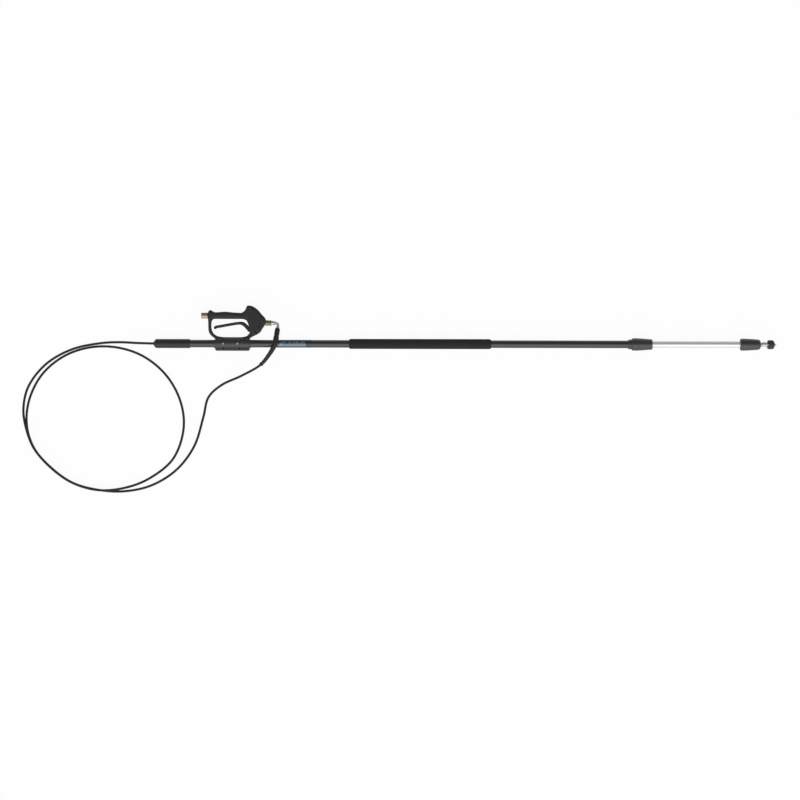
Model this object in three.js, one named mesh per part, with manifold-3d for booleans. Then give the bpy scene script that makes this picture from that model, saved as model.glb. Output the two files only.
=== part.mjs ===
// A telescopic pressure-cleaning lance lying on its side: an outer pole with grips, an inner pole
// with a nozzle, a trigger gun clamped beside the pole, and the hose that joins the gun to the tip.
// Millimetres. +X runs along the pole to the nozzle, +Y points to the gun, +Z points up.
import * as THREE from "three";
import { mergeVertices } from "three/addons/utils/BufferGeometryUtils.js";
import Module from "manifold-3d";

// ---------------------------------------------------------------- driving dimensions

// Clearances
const FIT = 0.3; // between pieces that seat on each other
const SLIDE_CLEARANCE = 0.4; // between the inner tube and what it slides in
const RUN_CLEARANCE = 0.6; // beside pieces that swing
const LAP = 1; // how far a cutting shape runs past a piece, and joined shapes into each other

// Tubes of the pole
const INNER_TUBE_DIAMETER = 25;
const INNER_TUBE_WALL = 1.2;
const INNER_TUBE_LENGTH = 1750;
const OUTER_TUBE_WALL = 1.4;
const OUTER_TUBE_LENGTH = 1787;
const EXPOSED_LENGTH = 328; // bare inner tube between the two collars, as it lies

// Grips and band on the outer tube
const BUTT_GRIP_DIAMETER = 34;
const BUTT_GRIP_LENGTH = 136;
const BUTT_END_WALL = 8;
const BUTT_DOME_LENGTH = 9.5;
const BUTT_MOUTH_RIM = 1.5; // flat rim round the hose's hole
const GUIDE_FLANGE = 2.5;
const GUIDE_LENGTH = 22;
const MID_GRIP_START = 729;
const MID_GRIP_LENGTH = 530;
const MID_GRIP_DIAMETER = 37.4;
const GRIP_EDGE = 3;
const LABEL_START = 461;
const LABEL_LENGTH = 128;
const LABEL_GAP = 0.15;
const LABEL_THICKNESS = 0.3;

// Twist lock on the front end of the outer tube
const COLLAR_DIAMETER = 46.6;
const COLLAR_LENGTH = 76;
const COLLAR_NOSE_DIAMETER = 39.6;
const COLLAR_NOSE_ROUNDING = 3;
const COLLAR_WAIST_PLACE = 46;
const COLLAR_GROOVE_PLACE = 27;
const COLLAR_GROOVE = 0.8;
const COLLAR_REAR = [[0, 1.9], [3, 0.5], [8, 0], [16, 0.2]]; // from the rear end, and below full radius
const LOCK_RING_DIAMETER = 37.4;
const LOCK_RING_LENGTH = 13.5;
const LOCK_RING_CHAMFER = 1.2;
const LOCK_OVERLAP = 28; // length of tube held inside the lock body
const LOCK_THREAD_DIAMETER = 34;
const LOCK_THREAD_LENGTH = 30;
const COLLET_LENGTH = 24;
const COLLET_TIP_WALL = 1.5;
const COLLET_SLOT = 2;

// Front end of the inner pole
const END_COLLAR_DIAMETER = 45;
const END_COLLAR_LENGTH = 73;
const END_COLLAR_NOSE_DIAMETER = 38.4;
const END_COLLAR_NOSE_ROUNDING = 5;
const END_COLLAR_RECESS = 1.5; // round the tube, in the rear face
const END_COLLAR_RECESS_WIDTH = 3;
const END_COLLAR_REAR = [[0, 3], [3, 0.8], [9, 0], [33, 1.3]]; // from the rear end, and below full radius
const END_COLLAR_INSERT = 27; // length of inner tube held inside the end collar
const BUSH_LENGTH = 25;
const BUSH_FLANGE = 4;
const STEM_DIAMETER = 15;
const STEM_TAIL = 40; // length of stem behind the end of the inner tube
const STEM_FLANGE_DIAMETER = 22;
const STEM_FLANGE = 4;
const HOSE_SOCKET_DEPTH = 25;
const WATER_BORE = 5;
const TIP_NECK_LENGTH = 9;
const TIP_HEX = 17.5; // across flats
const TIP_HEX_LENGTH = 14;
const TIP_SOCKET_LENGTH = 6.8;
const TIP_SOCKET_DIAMETER = 17;

// Nozzle and its guard
const GUARD_CUP_DIAMETER = 33.2;
const GUARD_CUP_LENGTH = 24.3;
const GUARD_CUP_SIDE = [[0, 3], [2.5, 0], [18, 0], [21.5, 3]]; // from the rear end, and below full radius
const GUARD_LIP = 2;
const GUARD_SLOT_DEPTH = 7.5;
const GUARD_SLOT_WIDTH = 9;
const NOZZLE_DIAMETER = 10.7;
const NOZZLE_FLANGE = 3.5;
const NOZZLE_FLANGE_WIDTH = 2.5;
const NOZZLE_SPIGOT_DIAMETER = 10;
const NOZZLE_SPIGOT_LENGTH = 12;
const NOZZLE_POINT = 7.4;
const NOZZLE_ORIFICE = 2.4;
const NOZZLE_TIP_WALL = 0.8;
const NOZZLE_THROAT = 4; // cone from the bore to the orifice
const SEAL_WIDTH = 2.4;

// Tail of the inner pole
const TAIL_PLUG_INSERT = 25;
const TAIL_SPIGOT_DIAMETER = 18;
const TAIL_FLANGE = 3;
const GLIDE_LENGTH = 14;
const GLIDE_CLEARANCE = 0.3;

// Clamp that carries the gun
const BRACKET_START = 230;
const BRACKET_LENGTH = 128;
const BRACKET_DROP = 26.5; // from the pole's axis to the lower edge
const BRACKET_WALL = 4.3;
const BRACKET_FLANGE = 7;
const BRACKET_LIP = 4.2;
const BRACKET_CORNER = 4;
const BRACKET_EDGE = 1;
const BRACKET_BACK_EDGE = 2;
const BRACKET_NECK = 5;
const BRACKET_NECK_WALL = 2.2;
const BRACKET_NUT_WALL = 1.8;
const NUT_RECESS = 2.5;
const CLAMP_SCREW_DIAMETER = 4;
const CLAMP_SCREW_HEAD = 6;
const CLAMP_SCREW_HEAD_HEIGHT = 3;
const CLAMP_SCREW_PROUD = 0.5; // past the nut
const CLAMP_NUT = 7; // across flats
const CLAMP_NUT_HEIGHT = 3.2;
const UPPER_SCREW_PLACES = [30, 109];
const LOWER_SCREW_PLACES = [30, 90];
const LOWER_SCREW_INSET = 7;
const POCKET_PLACES = [10, 60, 118];
const POCKET_WIDTH = 9;
const POCKET_DEPTH = 3;
const POCKET_RIM = 3;
const LOCK_SCREW_PLACES = [30.3, 83.7];
const LOCK_SCREW_DIAMETER = 5;
const LOCK_SCREW_HEAD = 7;
const LOCK_SCREW_HEAD_HEIGHT = 2.4;
const LOCK_SCREW_KEY = 3;
const LOCK_SCREW_KEY_DEPTH = 1.2;

// Trigger gun, measured from the rear end of the clamp and from the pole's axis
const GUARD_REACH = 25; // the guard's post behind the clamp's rear end
const GUARD_POST = 9.5;
const GUARD_BAR = 8.4;
const GUARD_THICKNESS = 14;
const GUARD_ROUNDING = 3;
const HAND_GAP_HEIGHT = 69;
const HAND_GAP_LENGTH = 145;
const GAP_CORNER_REAR = 34;
const GAP_CORNER_TOP = 14;
const GAP_CORNER_FRONT = 15;
const HANDLE_HEIGHT = 25;
const HANDLE_SWELL_PLACE = 92.5; // highest point of the back, from the gap's front
const HANDLE_SHOULDER_PLACE = 57.5; // where its front part starts
const HANDLE_THICKNESS = 32;
const HANDLE_ROUNDING = 5;
const REAR_BOSS_OVERHANG = 3.6; // boss behind the guard's post
const HEAD_REACH = 59.5; // from the hand gap's front to the head's nose
const HEAD_LENGTH = 95; // from the nose back to where the hump meets the handle
const HEAD_SLOPE = 26.5; // the head's rear edge, from the gap's front to the handle
const HEAD_RISE = 25; // hump above the handle
const HEAD_ROUNDING = 5;
const HOUSING_WALL = 3;
const HOUSING_SCREW_DIAMETER = 3.5;
const HOUSING_SCREW_HEAD = 6.6;
const HOUSING_SCREW_HEAD_HEIGHT = 2.6;
const HOUSING_SCREW_RECESS = 6;
const HOUSING_SCREW_STOP = 8; // from the screw's point to the far face
const HOUSING_SCREW_KEY = 2.5;
const HOUSING_POST_DIAMETER = 10;
const SADDLE_PLACES = [43.5, 101.5]; // webs that hold the inlet tube, from the hand gap's rear end

// Water path through the gun
const INLET_DROP = 13; // inlet axis below the top of the handle
const INLET_HEX = 22; // across flats
const INLET_LENGTH = 23.5;
const INLET_SOCKET_DIAMETER = 16;
const INLET_SOCKET_DEPTH = 15;
const INLET_STUB = 16;
const INLET_STUB_DIAMETER = 16;
const INLET_TUBE_GRIP = 8; // length of tube held at each end
const INLET_TUBE_DIAMETER = 11;
const INLET_TUBE_BORE = 8;
const OUTLET_DROP = 15; // outlet axis below the underside of the handle
const OUTLET_HEX = 17.3; // across flats
const OUTLET_HEX_LENGTH = 22;
const OUTLET_HEX_SINK = 2.5; // into the head's nose
const OUTLET_STUB_DIAMETER = 12;
const OUTLET_BORE = 6;
const OUTLET_BOSS_DIAMETER = 15;
const OUTLET_BOSS_LENGTH = 15;
const OUTLET_STUB_SINK = 2; // into the valve's own body
const VALVE_SET_BACK = 18; // the valve's axis behind the trigger's pivot
const VALVE_WIDTH = 32;
const VALVE_THICKNESS = 26;
const VALVE_CHAMBER = 12;
const VALVE_GALLERY = 6.6;
const VALVE_ROOF = 9.5; // body above the inlet axis
const VALVE_FLOOR = 6.5; // body below the outlet axis
const VALVE_PAD_INSET = 4; // pads in the shells that hold the valve, from its sides
const VALVE_PAD_TOP = 6;
const VALVE_PAD_BOTTOM = 10;
const SEAT_RISE = 7; // seat above the outlet axis
const SEAT_THICKNESS = 3;
const SEAT_BORE = 6.4;
const BALL_DIAMETER = 9;
const CAP_HEX = 13;
const CAP_HEIGHT = 5;
const CAP_PLUG_LENGTH = 5;
const GLAND_HEX = 11;
const GLAND_HEIGHT = 5.5;
const GLAND_SPIGOT = 1.5;
const GLAND_STEP = 1; // its radius past the gallery's
const SEAL_THICKNESS = 1.5;
const ROD_DIAMETER = 4.8;
const ROD_TIP_DIAMETER = 3.6;
const ROD_SHOULDER = 1; // cone between rod and tip, and its gap to the seat
const SPRING_WIRE = 1.2;
const SPRING_TURNS = 4;
const SPRING_DIAMETER = 7.6;
const SPRING_SIDES = 5;
const SPRING_STEPS = 8; // in one turn

// Trigger and its latch
const PIVOT_SET_BACK = 23.5; // trigger pivot behind the head's nose
const PIVOT_DROP = 29.5; // trigger pivot below the underside of the handle
const PIVOT_PIN_DIAMETER = 5;
const PIVOT_BOSS_DIAMETER = 12;
const TRIGGER_WIDTH = 16;
const TRIGGER_STRIP = 7.2;
const TRIGGER_EDGE = 2;
const TRIGGER_PAD_DROP = 4.4; // the face that lifts the push rod, below the pivot
const TRIGGER_PAD_LENGTH = 9;
const TRIGGER_STEPS = 22;
const TRIGGER_MOUTH_REAR = 25; // slot in the head for the trigger, from the hand gap's front edge
const TRIGGER_MOUTH_FRONT = 10;
const TRIGGER_MOUTH_BOTTOM = 20; // above the guard's bar
const TRIGGER_MOUTH_TOP = 4; // below the underside of the handle
const LATCH_WIDTH = 5.4;
const LATCH_LENGTH = 26;
const LATCH_HEIGHT = 4.4;
const LATCH_EYE_DIAMETER = 6;
const LATCH_HOOK = 15;
const LATCH_HOOK_BEND = 0.35; // radians
const LATCH_TILT = 10; // degrees, in line with the trigger
const LATCH_PIN_PLACE = 24.5; // from the gap's rear edge
const LATCH_PIN_RISE = 0.9; // above the trigger's pivot
const LATCH_PIN_DIAMETER = 3;
const LATCH_PIN_INSET = 0.5; // from the trigger's sides

// Union, elbow and hose end
const UNION_HEX = 15;
const UNION_LENGTH = 13;
const UNION_HEX_LENGTH = 7.2;
const UNION_NIPPLE = 6;
const NIPPLE_WALL = 1.7;
const ELBOW_DIAMETER = 12;
const ELBOW_REACH = 13.5;
const ELBOW_LEG = 21;
const ELBOW_BEND = 9;
const ELBOW_NIPPLE = 8;
const ELBOW_TILT = 20; // degrees that the hose end rises from the floor's plane
const ELBOW_LEAN = 8; // degrees that the hose end leans back to the butt
const FERRULE_DIAMETER = 14;
const FERRULE_LENGTH = 30;
const FERRULE_WALL = 2;
const COVER_DIAMETER = 18.4;
const COVER_SET_BACK = 1;
const COVER_SHOULDER = [[0, 3], [1.5, 1], [4, 0]]; // from the rear end, and below full radius
const HOSE_DIAMETER = 9;
const BEND_GUARD_DIAMETER = 19.6;
const BEND_GUARD_END_DIAMETER = 15.7;
const BEND_GUARD_LENGTH = 130;
const BEND_GUARD_STRAIGHT = 12; // length in line with the ferrule

// Facets
const TUBE_SIDES = 24;
const SMALL_SIDES = 12;
const HOSE_SIDES = 8;
const HOSE_STEPS = 80;
const BEND_GUARD_STEPS = 12;
const ELBOW_STEPS = 9;
const ROUTE_DIVISIONS = 1000;
const OUTLINE_STEPS = 2; // chords between two points of a drawn curve

// The middle of the free hose, from the ferrule over the pole, round its loops on the floor and
// into the butt: distances from the butt's face, from the pole's axis, and above the floor.
const HOSE_ROUTE = [
  [451, -8, 50], [431, -42, 45.5], [399, -79, 31.5], [328, -119.5, 17], [252, -155, 7],
  [204, -200, 5], [185, -274, 5], [150.5, -384, 5], [84, -472, 5], [-8, -529.5, 5],
  [-105, -551.5, 5], [-200, -548, 5], [-302, -521, 5], [-386, -462, 5], [-448, -390, 5],
  [-474.5, -306, 5], [-466, -212, 5], [-417, -115, 5], [-332, -45.5, 5], [-232, -13.7, 5],
  [-130, -16.2, 5], [-34, -51, 5], [49, -122.5, 5], [100, -218.5, 5], [111, -318, 5],
  [73, -429, 5], [-10, -500, 5.6], [-94, -535.5, 12], [-200, -548, 15], [-302, -521, 15],
  [-386, -462, 15], [-448, -390, 15], [-479, -306, 14.8], [-487, -240, 7.5], [-469, -161.5, 5],
  [-404, -78, 5], [-307.5, -22.5, 5.5], [-197, 1.3, 6.5], [-125, 4.7, 10], [-62, 1.8, 19.2],
  [0, 0, 23.3],
];

// ---------------------------------------------------------------- sizes that follow

const innerRadius = INNER_TUBE_DIAMETER / 2;
const innerBore = innerRadius - INNER_TUBE_WALL;
const outerBore = innerRadius + SLIDE_CLEARANCE;
const outerRadius = outerBore + OUTER_TUBE_WALL;
const seatRadius = outerRadius + FIT; // bore of whatever sits on the outer tube
const hoseRadius = HOSE_DIAMETER / 2;
const hoseHole = hoseRadius + FIT;
const stemRadius = STEM_DIAMETER / 2;
const nippleRadius = WATER_BORE / 2 + NIPPLE_WALL;
const axisHeight = COLLAR_DIAMETER / 2; // the collar touches the floor and sets the pole's height

const tubeStart = BUTT_END_WALL + FIT + GUIDE_FLANGE + FIT;
const tubeEnd = tubeStart + OUTER_TUBE_LENGTH;
const lockStart = tubeEnd - LOCK_OVERLAP;
const threadStart = lockStart + LOCK_RING_LENGTH;
const threadEnd = threadStart + LOCK_THREAD_LENGTH;
const collarStart = threadStart + FIT;
const collarEnd = collarStart + COLLAR_LENGTH;
const endCollarStart = collarEnd + EXPOSED_LENGTH;
const innerEnd = endCollarStart + END_COLLAR_INSERT;
const innerStart = innerEnd - INNER_TUBE_LENGTH;
const endCollarEnd = endCollarStart + END_COLLAR_LENGTH;
const stemFlangeStart = innerEnd + 2 * FIT + BUSH_FLANGE;
const stemStart = innerEnd - STEM_TAIL;
const tipHexStart = endCollarEnd + TIP_NECK_LENGTH;
const tipEnd = tipHexStart + TIP_HEX_LENGTH + TIP_SOCKET_LENGTH;
const spigotRadius = NOZZLE_SPIGOT_DIAMETER / 2;

// ---------------------------------------------------------------- materials

const finish = (color, roughness, metalness = 0) =>
  new THREE.MeshStandardMaterial({ color, roughness, metalness, flatShading: true });
const fibreglass = finish(0x1e1f20, 0.3);
const aluminium = finish(0xc9cbcd, 0.35, 1);
const gripRubber = finish(0x333334, 0.8);
const gripFoam = finish(0x3a3b3c, 0.95);
const printedFilm = finish(0x3d5468, 0.4);
const lockNylon = finish(0x333435, 0.55);
const glideAcetal = finish(0xd9d8d2, 0.5);
const clampNylon = finish(0x2a2b2b, 0.6);
const gunNylon = finish(0x323333, 0.65);
const brass = finish(0xb09a55, 0.3, 1);
const nickel = finish(0xc4c3bd, 0.25, 1);
const steel = finish(0xb4b5b6, 0.3, 1);
const blackSteel = finish(0x1b1b1c, 0.5, 1);
const sealRubber = finish(0x141414, 0.7);
const hoseRubber = finish(0x262626, 0.5);
const guardPlastic = finish(0x34352c, 0.6);

// ---------------------------------------------------------------- shape tools

const wasm = await Module();
wasm.setup();

// A closed three.js geometry as a solid that can be joined and cut, with its faces outwards.
function solid(geometry) {
  const bare = geometry.clone();
  bare.deleteAttribute("normal");
  bare.deleteAttribute("uv");
  const merged = mergeVertices(bare, 1e-3);
  const index = merged.index.array;
  const corners = [];
  for (let i = 0; i < index.length; i += 3) {
    const [a, b, c] = index.slice(i, i + 3);
    if (a !== b && b !== c && c !== a) corners.push([a, b, c]);
  }
  const build = (faces) =>
    new wasm.Manifold(
      new wasm.Mesh({
        numProp: 3,
        vertProperties: merged.attributes.position.array,
        triVerts: new Uint32Array(faces.flat()),
      }),
    );
  const made = build(corners);
  return made.volume() < 0 ? build(corners.map(([a, b, c]) => [a, c, b])) : made;
}

const join = (...pieces) => pieces.map(asSolid).reduce((sum, piece) => sum.add(piece));
const cut = (piece, ...tools) =>
  tools.map(asSolid).reduce((rest, tool) => rest.subtract(tool), asSolid(piece));
const asSolid = (piece) => (piece.isBufferGeometry ? solid(piece) : piece);

// A named piece of the model, from a solid or a geometry.
function piece(name, shape, material) {
  const mesh = asSolid(shape).getMesh();
  const geometry = new THREE.BufferGeometry();
  geometry.setAttribute("position", new THREE.BufferAttribute(mesh.vertProperties, 3));
  geometry.setIndex(new THREE.BufferAttribute(mesh.triVerts, 1));
  geometry.computeVertexNormals();
  const made = new THREE.Mesh(geometry, material);
  made.name = name;
  return made;
}

const turnTo = {
  x: (geometry) => geometry.rotateZ(-Math.PI / 2),
  y: (geometry) => geometry,
  z: (geometry) => geometry.rotateX(Math.PI / 2),
};

// A turned piece round an axis, from a closed profile of [place along the axis, radius].
function turned(axis, profile, sides = TUBE_SIDES) {
  const points = [...profile, profile[0]].map(([along, radius]) => new THREE.Vector2(radius, along));
  return turnTo[axis](new THREE.LatheGeometry(points, sides));
}

const ring = (axis, start, end, outer, inner, sides = TUBE_SIDES) =>
  turned(axis, [[start, inner], [end, inner], [end, outer], [start, outer]], sides);

const bar = (axis, start, end, radius, sides = SMALL_SIDES) =>
  turned(axis, [[start, 0], [start, radius], [end, radius], [end, 0]], sides);

// A hexagon along an axis. Its corners point along Y when it lies along X.
function hexBar(axis, start, end, acrossFlats) {
  const radius = acrossFlats / Math.sqrt(3);
  const shape = new THREE.CylinderGeometry(radius, radius, end - start, 6, 1, false, Math.PI / 6);
  return turnTo[axis](shape.translate(0, (start + end) / 2, 0));
}

const block = ([x0, y0, z0], [x1, y1, z1]) =>
  new THREE.BoxGeometry(x1 - x0, y1 - y0, z1 - z0).translate((x0 + x1) / 2, (y0 + y1) / 2, (z0 + z1) / 2);

// A flat shape drawn in XY, given a thickness about z = 0 and rounded edges.
function plate(shape, thickness, rounding, inset = 0) {
  return new THREE.ExtrudeGeometry(shape, {
    depth: thickness - 2 * rounding,
    curveSegments: OUTLINE_STEPS,
    bevelThickness: rounding,
    bevelSize: rounding,
    bevelOffset: -rounding - inset,
    bevelSegments: inset > 0 ? 1 : 2,
  }).translate(0, 0, rounding - thickness / 2);
}

// A quarter-round edge as profile points, from [start, radius - size] to [start + size, radius].
function roundEdge(start, direction, radius, size, steps = 3) {
  return Array.from({ length: steps + 1 }, (_, i) => {
    const angle = (i / steps) * (Math.PI / 2);
    return [start + direction * size * (1 - Math.sin(angle)), radius - size * (1 - Math.cos(angle))];
  }).reverse();
}

// A drawn profile laid from a place along the axis, its depths taken from a radius.
const profileFrom = (profile, start, radius) =>
  profile.map(([along, depth]) => [start + along, radius - depth]);

const vectors = (points) => points.map(([x, y]) => new THREE.Vector2(x, y));

// ---------------------------------------------------------------- outer pole

function buttGrip() {
  const radius = BUTT_GRIP_DIAMETER / 2;
  const mouth = hoseHole + BUTT_MOUTH_RIM;
  const dome = [0, 1, 2, 3, 4].map((i) => {
    const angle = (i / 4) * (Math.PI / 2);
    return [BUTT_DOME_LENGTH * (1 - Math.cos(angle)), mouth + (radius - mouth) * Math.sin(angle)];
  });
  const front = roundEdge(BUTT_GRIP_LENGTH, -1, radius, GRIP_EDGE / 2).reverse();
  return turned("x", [
    ...dome,
    ...front,
    [BUTT_GRIP_LENGTH, seatRadius],
    [BUTT_END_WALL, seatRadius],
    [BUTT_END_WALL, hoseHole],
    [0, hoseHole],
  ]);
}

function buttHoseGuide() {
  const start = BUTT_END_WALL + FIT;
  const plugRadius = outerBore - FIT;
  return turned("x", [
    [start, hoseHole],
    [start, outerRadius],
    [start + GUIDE_FLANGE, outerRadius],
    [start + GUIDE_FLANGE, plugRadius],
    [start + GUIDE_LENGTH, plugRadius],
    [start + GUIDE_LENGTH, hoseHole],
  ]);
}

function midGrip() {
  const end = MID_GRIP_START + MID_GRIP_LENGTH;
  const radius = MID_GRIP_DIAMETER / 2;
  return turned("x", [
    [MID_GRIP_START, seatRadius],
    ...roundEdge(MID_GRIP_START, 1, radius, GRIP_EDGE),
    ...roundEdge(end, -1, radius, GRIP_EDGE).reverse(),
    [end, seatRadius],
  ]);
}

function lockBody() {
  const threadRadius = LOCK_THREAD_DIAMETER / 2;
  const shoulder = tubeEnd + FIT;
  return turned("x", [
    [lockStart, seatRadius],
    [lockStart, LOCK_RING_DIAMETER / 2 - LOCK_RING_CHAMFER],
    [lockStart + LOCK_RING_CHAMFER, LOCK_RING_DIAMETER / 2],
    [threadStart, LOCK_RING_DIAMETER / 2],
    [threadStart, threadRadius],
    [threadEnd, threadRadius],
    [threadEnd, outerBore],
    [shoulder, outerBore],
    [shoulder, seatRadius],
  ]);
}

// A split cone that the twist collar squeezes on to the inner tube.
function lockCollet() {
  const start = threadEnd + FIT;
  const wedge = turned("x", [
    [start, innerRadius + FIT],
    [start, LOCK_THREAD_DIAMETER / 2],
    [start + COLLET_LENGTH, innerRadius + FIT + COLLET_TIP_WALL],
    [start + COLLET_LENGTH, innerRadius + FIT],
  ]);
  const slot = block(
    [start - LAP, -COLLET_SLOT / 2, 0],
    [start + COLLET_LENGTH + LAP, COLLET_SLOT / 2, LOCK_THREAD_DIAMETER],
  );
  return cut(wedge, slot);
}

function twistCollar() {
  const radius = COLLAR_DIAMETER / 2;
  const nose = COLLAR_NOSE_DIAMETER / 2;
  const threadBore = LOCK_THREAD_DIAMETER / 2 + FIT;
  const coneStart = threadEnd + FIT;
  const coneEnd = coneStart + COLLET_LENGTH;
  const groove = collarStart + COLLAR_GROOVE_PLACE;
  const grooveRadius = radius - COLLAR_GROOVE;
  return turned("x", [
    [collarStart, threadBore],
    ...profileFrom(COLLAR_REAR, collarStart, radius),
    [groove - COLLAR_GROOVE, grooveRadius],
    [groove, grooveRadius - COLLAR_GROOVE],
    [groove + COLLAR_GROOVE, grooveRadius],
    [collarStart + COLLAR_WAIST_PLACE, (radius + nose) / 2],
    ...roundEdge(collarEnd, -1, nose, COLLAR_NOSE_ROUNDING).reverse(),
    [collarEnd, outerBore + FIT],
    [coneEnd + FIT, outerBore + FIT],
    [coneEnd + FIT, innerRadius + COLLET_TIP_WALL + 2 * FIT],
    [coneStart, threadBore],
  ]);
}

function outerPole() {
  const group = new THREE.Group();
  const label = ring("x", LABEL_START, LABEL_START + LABEL_LENGTH,
    outerRadius + LABEL_GAP + LABEL_THICKNESS, outerRadius + LABEL_GAP);
  group.add(
    piece("outer_tube", ring("x", tubeStart, tubeEnd, outerRadius, outerBore), fibreglass),
    piece("butt_grip", buttGrip(), gripRubber),
    piece("butt_hose_guide", buttHoseGuide(), lockNylon),
    piece("pole_label", label, printedFilm),
    piece("mid_grip", midGrip(), gripFoam),
    piece("lock_body", lockBody(), lockNylon),
    piece("lock_collet", lockCollet(), glideAcetal),
    piece("twist_collar", twistCollar(), lockNylon),
  );
  return group;
}

// ---------------------------------------------------------------- inner pole

// The plug in the tube's tail. Its spigot carries the loose ring that guides the tail.
function tailPlug() {
  const spigot = TAIL_SPIGOT_DIAMETER / 2;
  const spigotStart = innerStart - GLIDE_LENGTH - 2 * FIT;
  return turned("x", [
    [spigotStart - TAIL_FLANGE, hoseHole],
    [spigotStart - TAIL_FLANGE, innerRadius - FIT],
    [spigotStart, innerRadius - FIT],
    [spigotStart, spigot],
    [innerStart - FIT, spigot],
    [innerStart - FIT, innerBore - FIT],
    [innerStart + TAIL_PLUG_INSERT, innerBore - FIT],
    [innerStart + TAIL_PLUG_INSERT, hoseHole],
  ]);
}

function endCollar() {
  const radius = END_COLLAR_DIAMETER / 2;
  const nose = END_COLLAR_NOSE_DIAMETER / 2;
  const bore = innerRadius + FIT;
  const wallStart = stemFlangeStart + STEM_FLANGE + FIT;
  return turned("x", [
    [endCollarStart + END_COLLAR_RECESS, bore],
    [endCollarStart + END_COLLAR_RECESS, bore + END_COLLAR_RECESS_WIDTH],
    ...profileFrom(END_COLLAR_REAR, endCollarStart, radius),
    ...roundEdge(endCollarEnd, -1, nose, END_COLLAR_NOSE_ROUNDING).reverse(),
    [endCollarEnd, stemRadius + FIT],
    [wallStart, stemRadius + FIT],
    [wallStart, bore],
  ]);
}

function endBush() {
  const stemHole = stemRadius + FIT;
  return turned("x", [
    [innerEnd - BUSH_LENGTH, stemHole],
    [innerEnd - BUSH_LENGTH, innerBore - FIT],
    [innerEnd + FIT, innerBore - FIT],
    [innerEnd + FIT, innerRadius],
    [innerEnd + FIT + BUSH_FLANGE, innerRadius],
    [innerEnd + FIT + BUSH_FLANGE, stemHole],
  ]);
}

// The fitting crimped on the hose's far end, which carries the nozzle in front of the collar.
function hoseEndFitting() {
  const flange = STEM_FLANGE_DIAMETER / 2;
  const stem = turned("x", [
    [stemStart, 0],
    [stemStart, stemRadius],
    [stemFlangeStart, stemRadius],
    [stemFlangeStart, flange],
    [stemFlangeStart + STEM_FLANGE, flange],
    [stemFlangeStart + STEM_FLANGE, stemRadius],
    [tipHexStart, stemRadius],
    [tipHexStart + TIP_HEX_LENGTH, stemRadius],
    [tipHexStart + TIP_HEX_LENGTH, TIP_SOCKET_DIAMETER / 2],
    [tipEnd, TIP_SOCKET_DIAMETER / 2],
    [tipEnd, 0],
  ]);
  const hex = hexBar("x", tipHexStart, tipHexStart + TIP_HEX_LENGTH, TIP_HEX);
  return cut(
    join(stem, hex),
    bar("x", stemStart - LAP, stemStart + HOSE_SOCKET_DEPTH, hoseHole),
    bar("x", stemStart, tipEnd, WATER_BORE / 2),
    bar("x", tipEnd - NOZZLE_SPIGOT_LENGTH - SEAL_WIDTH - FIT, tipEnd + LAP, spigotRadius + FIT),
  );
}

function nozzle() {
  const radius = NOZZLE_DIAMETER / 2;
  const flange = tipEnd + FIT;
  const front = flange + GUARD_CUP_LENGTH;
  return turned("x", [
    [flange - NOZZLE_SPIGOT_LENGTH, WATER_BORE / 2],
    [flange - NOZZLE_SPIGOT_LENGTH, spigotRadius],
    [flange, spigotRadius],
    [flange, radius + NOZZLE_FLANGE_WIDTH],
    [flange + NOZZLE_FLANGE, radius + NOZZLE_FLANGE_WIDTH],
    [flange + NOZZLE_FLANGE, radius],
    [front, radius],
    [front + NOZZLE_POINT, NOZZLE_ORIFICE / 2 + NOZZLE_TIP_WALL],
    [front + NOZZLE_POINT, NOZZLE_ORIFICE / 2],
    [front, NOZZLE_ORIFICE / 2],
    [front - NOZZLE_THROAT, WATER_BORE / 2],
  ], SMALL_SIDES);
}

// A rubber cup round the nozzle, open in two lobes at the back and coned at the front.
function nozzleGuard() {
  const start = tipEnd + FIT;
  const end = start + GUARD_CUP_LENGTH - FIT;
  const radius = GUARD_CUP_DIAMETER / 2;
  const hole = NOZZLE_DIAMETER / 2 + FIT;
  const pocket = hole + NOZZLE_FLANGE_WIDTH;
  const cup = turned("x", [
    [start, pocket],
    ...profileFrom(GUARD_CUP_SIDE, start, radius),
    [end, hole + GUARD_LIP],
    [end, hole],
    [start + NOZZLE_FLANGE + FIT, hole],
    [start + NOZZLE_FLANGE + FIT, pocket],
  ]);
  const slot = block(
    [start - LAP, -GUARD_SLOT_WIDTH / 2, -radius - LAP],
    [start + GUARD_SLOT_DEPTH, GUARD_SLOT_WIDTH / 2, radius + LAP],
  );
  return cut(cup, slot);
}

function innerPole() {
  const group = new THREE.Group();
  const glideStart = innerStart - FIT - GLIDE_LENGTH;
  const glide = ring("x", glideStart, glideStart + GLIDE_LENGTH - FIT,
    outerBore - GLIDE_CLEARANCE, TAIL_SPIGOT_DIAMETER / 2 + FIT);
  const sealStart = tipEnd + FIT - NOZZLE_SPIGOT_LENGTH - FIT - SEAL_WIDTH;
  const sealBore = WATER_BORE / 2 + FIT;
  const seal = ring("x", sealStart, sealStart + SEAL_WIDTH, spigotRadius, sealBore, SMALL_SIDES);
  group.add(
    piece("inner_tube", ring("x", innerStart, innerEnd, innerRadius, innerBore), aluminium),
    piece("tail_plug", tailPlug(), lockNylon),
    piece("glide_ring", glide, glideAcetal),
    piece("end_collar", endCollar(), lockNylon),
    piece("end_bush", endBush(), glideAcetal),
    piece("hose_end_fitting", hoseEndFitting(), nickel),
    piece("nozzle_seal", seal, sealRubber),
    piece("nozzle", nozzle(), steel),
    piece("nozzle_guard", nozzleGuard(), guardPlastic),
  );
  return group;
}

// ---------------------------------------------------------------- gun: places in its own frame

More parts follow.
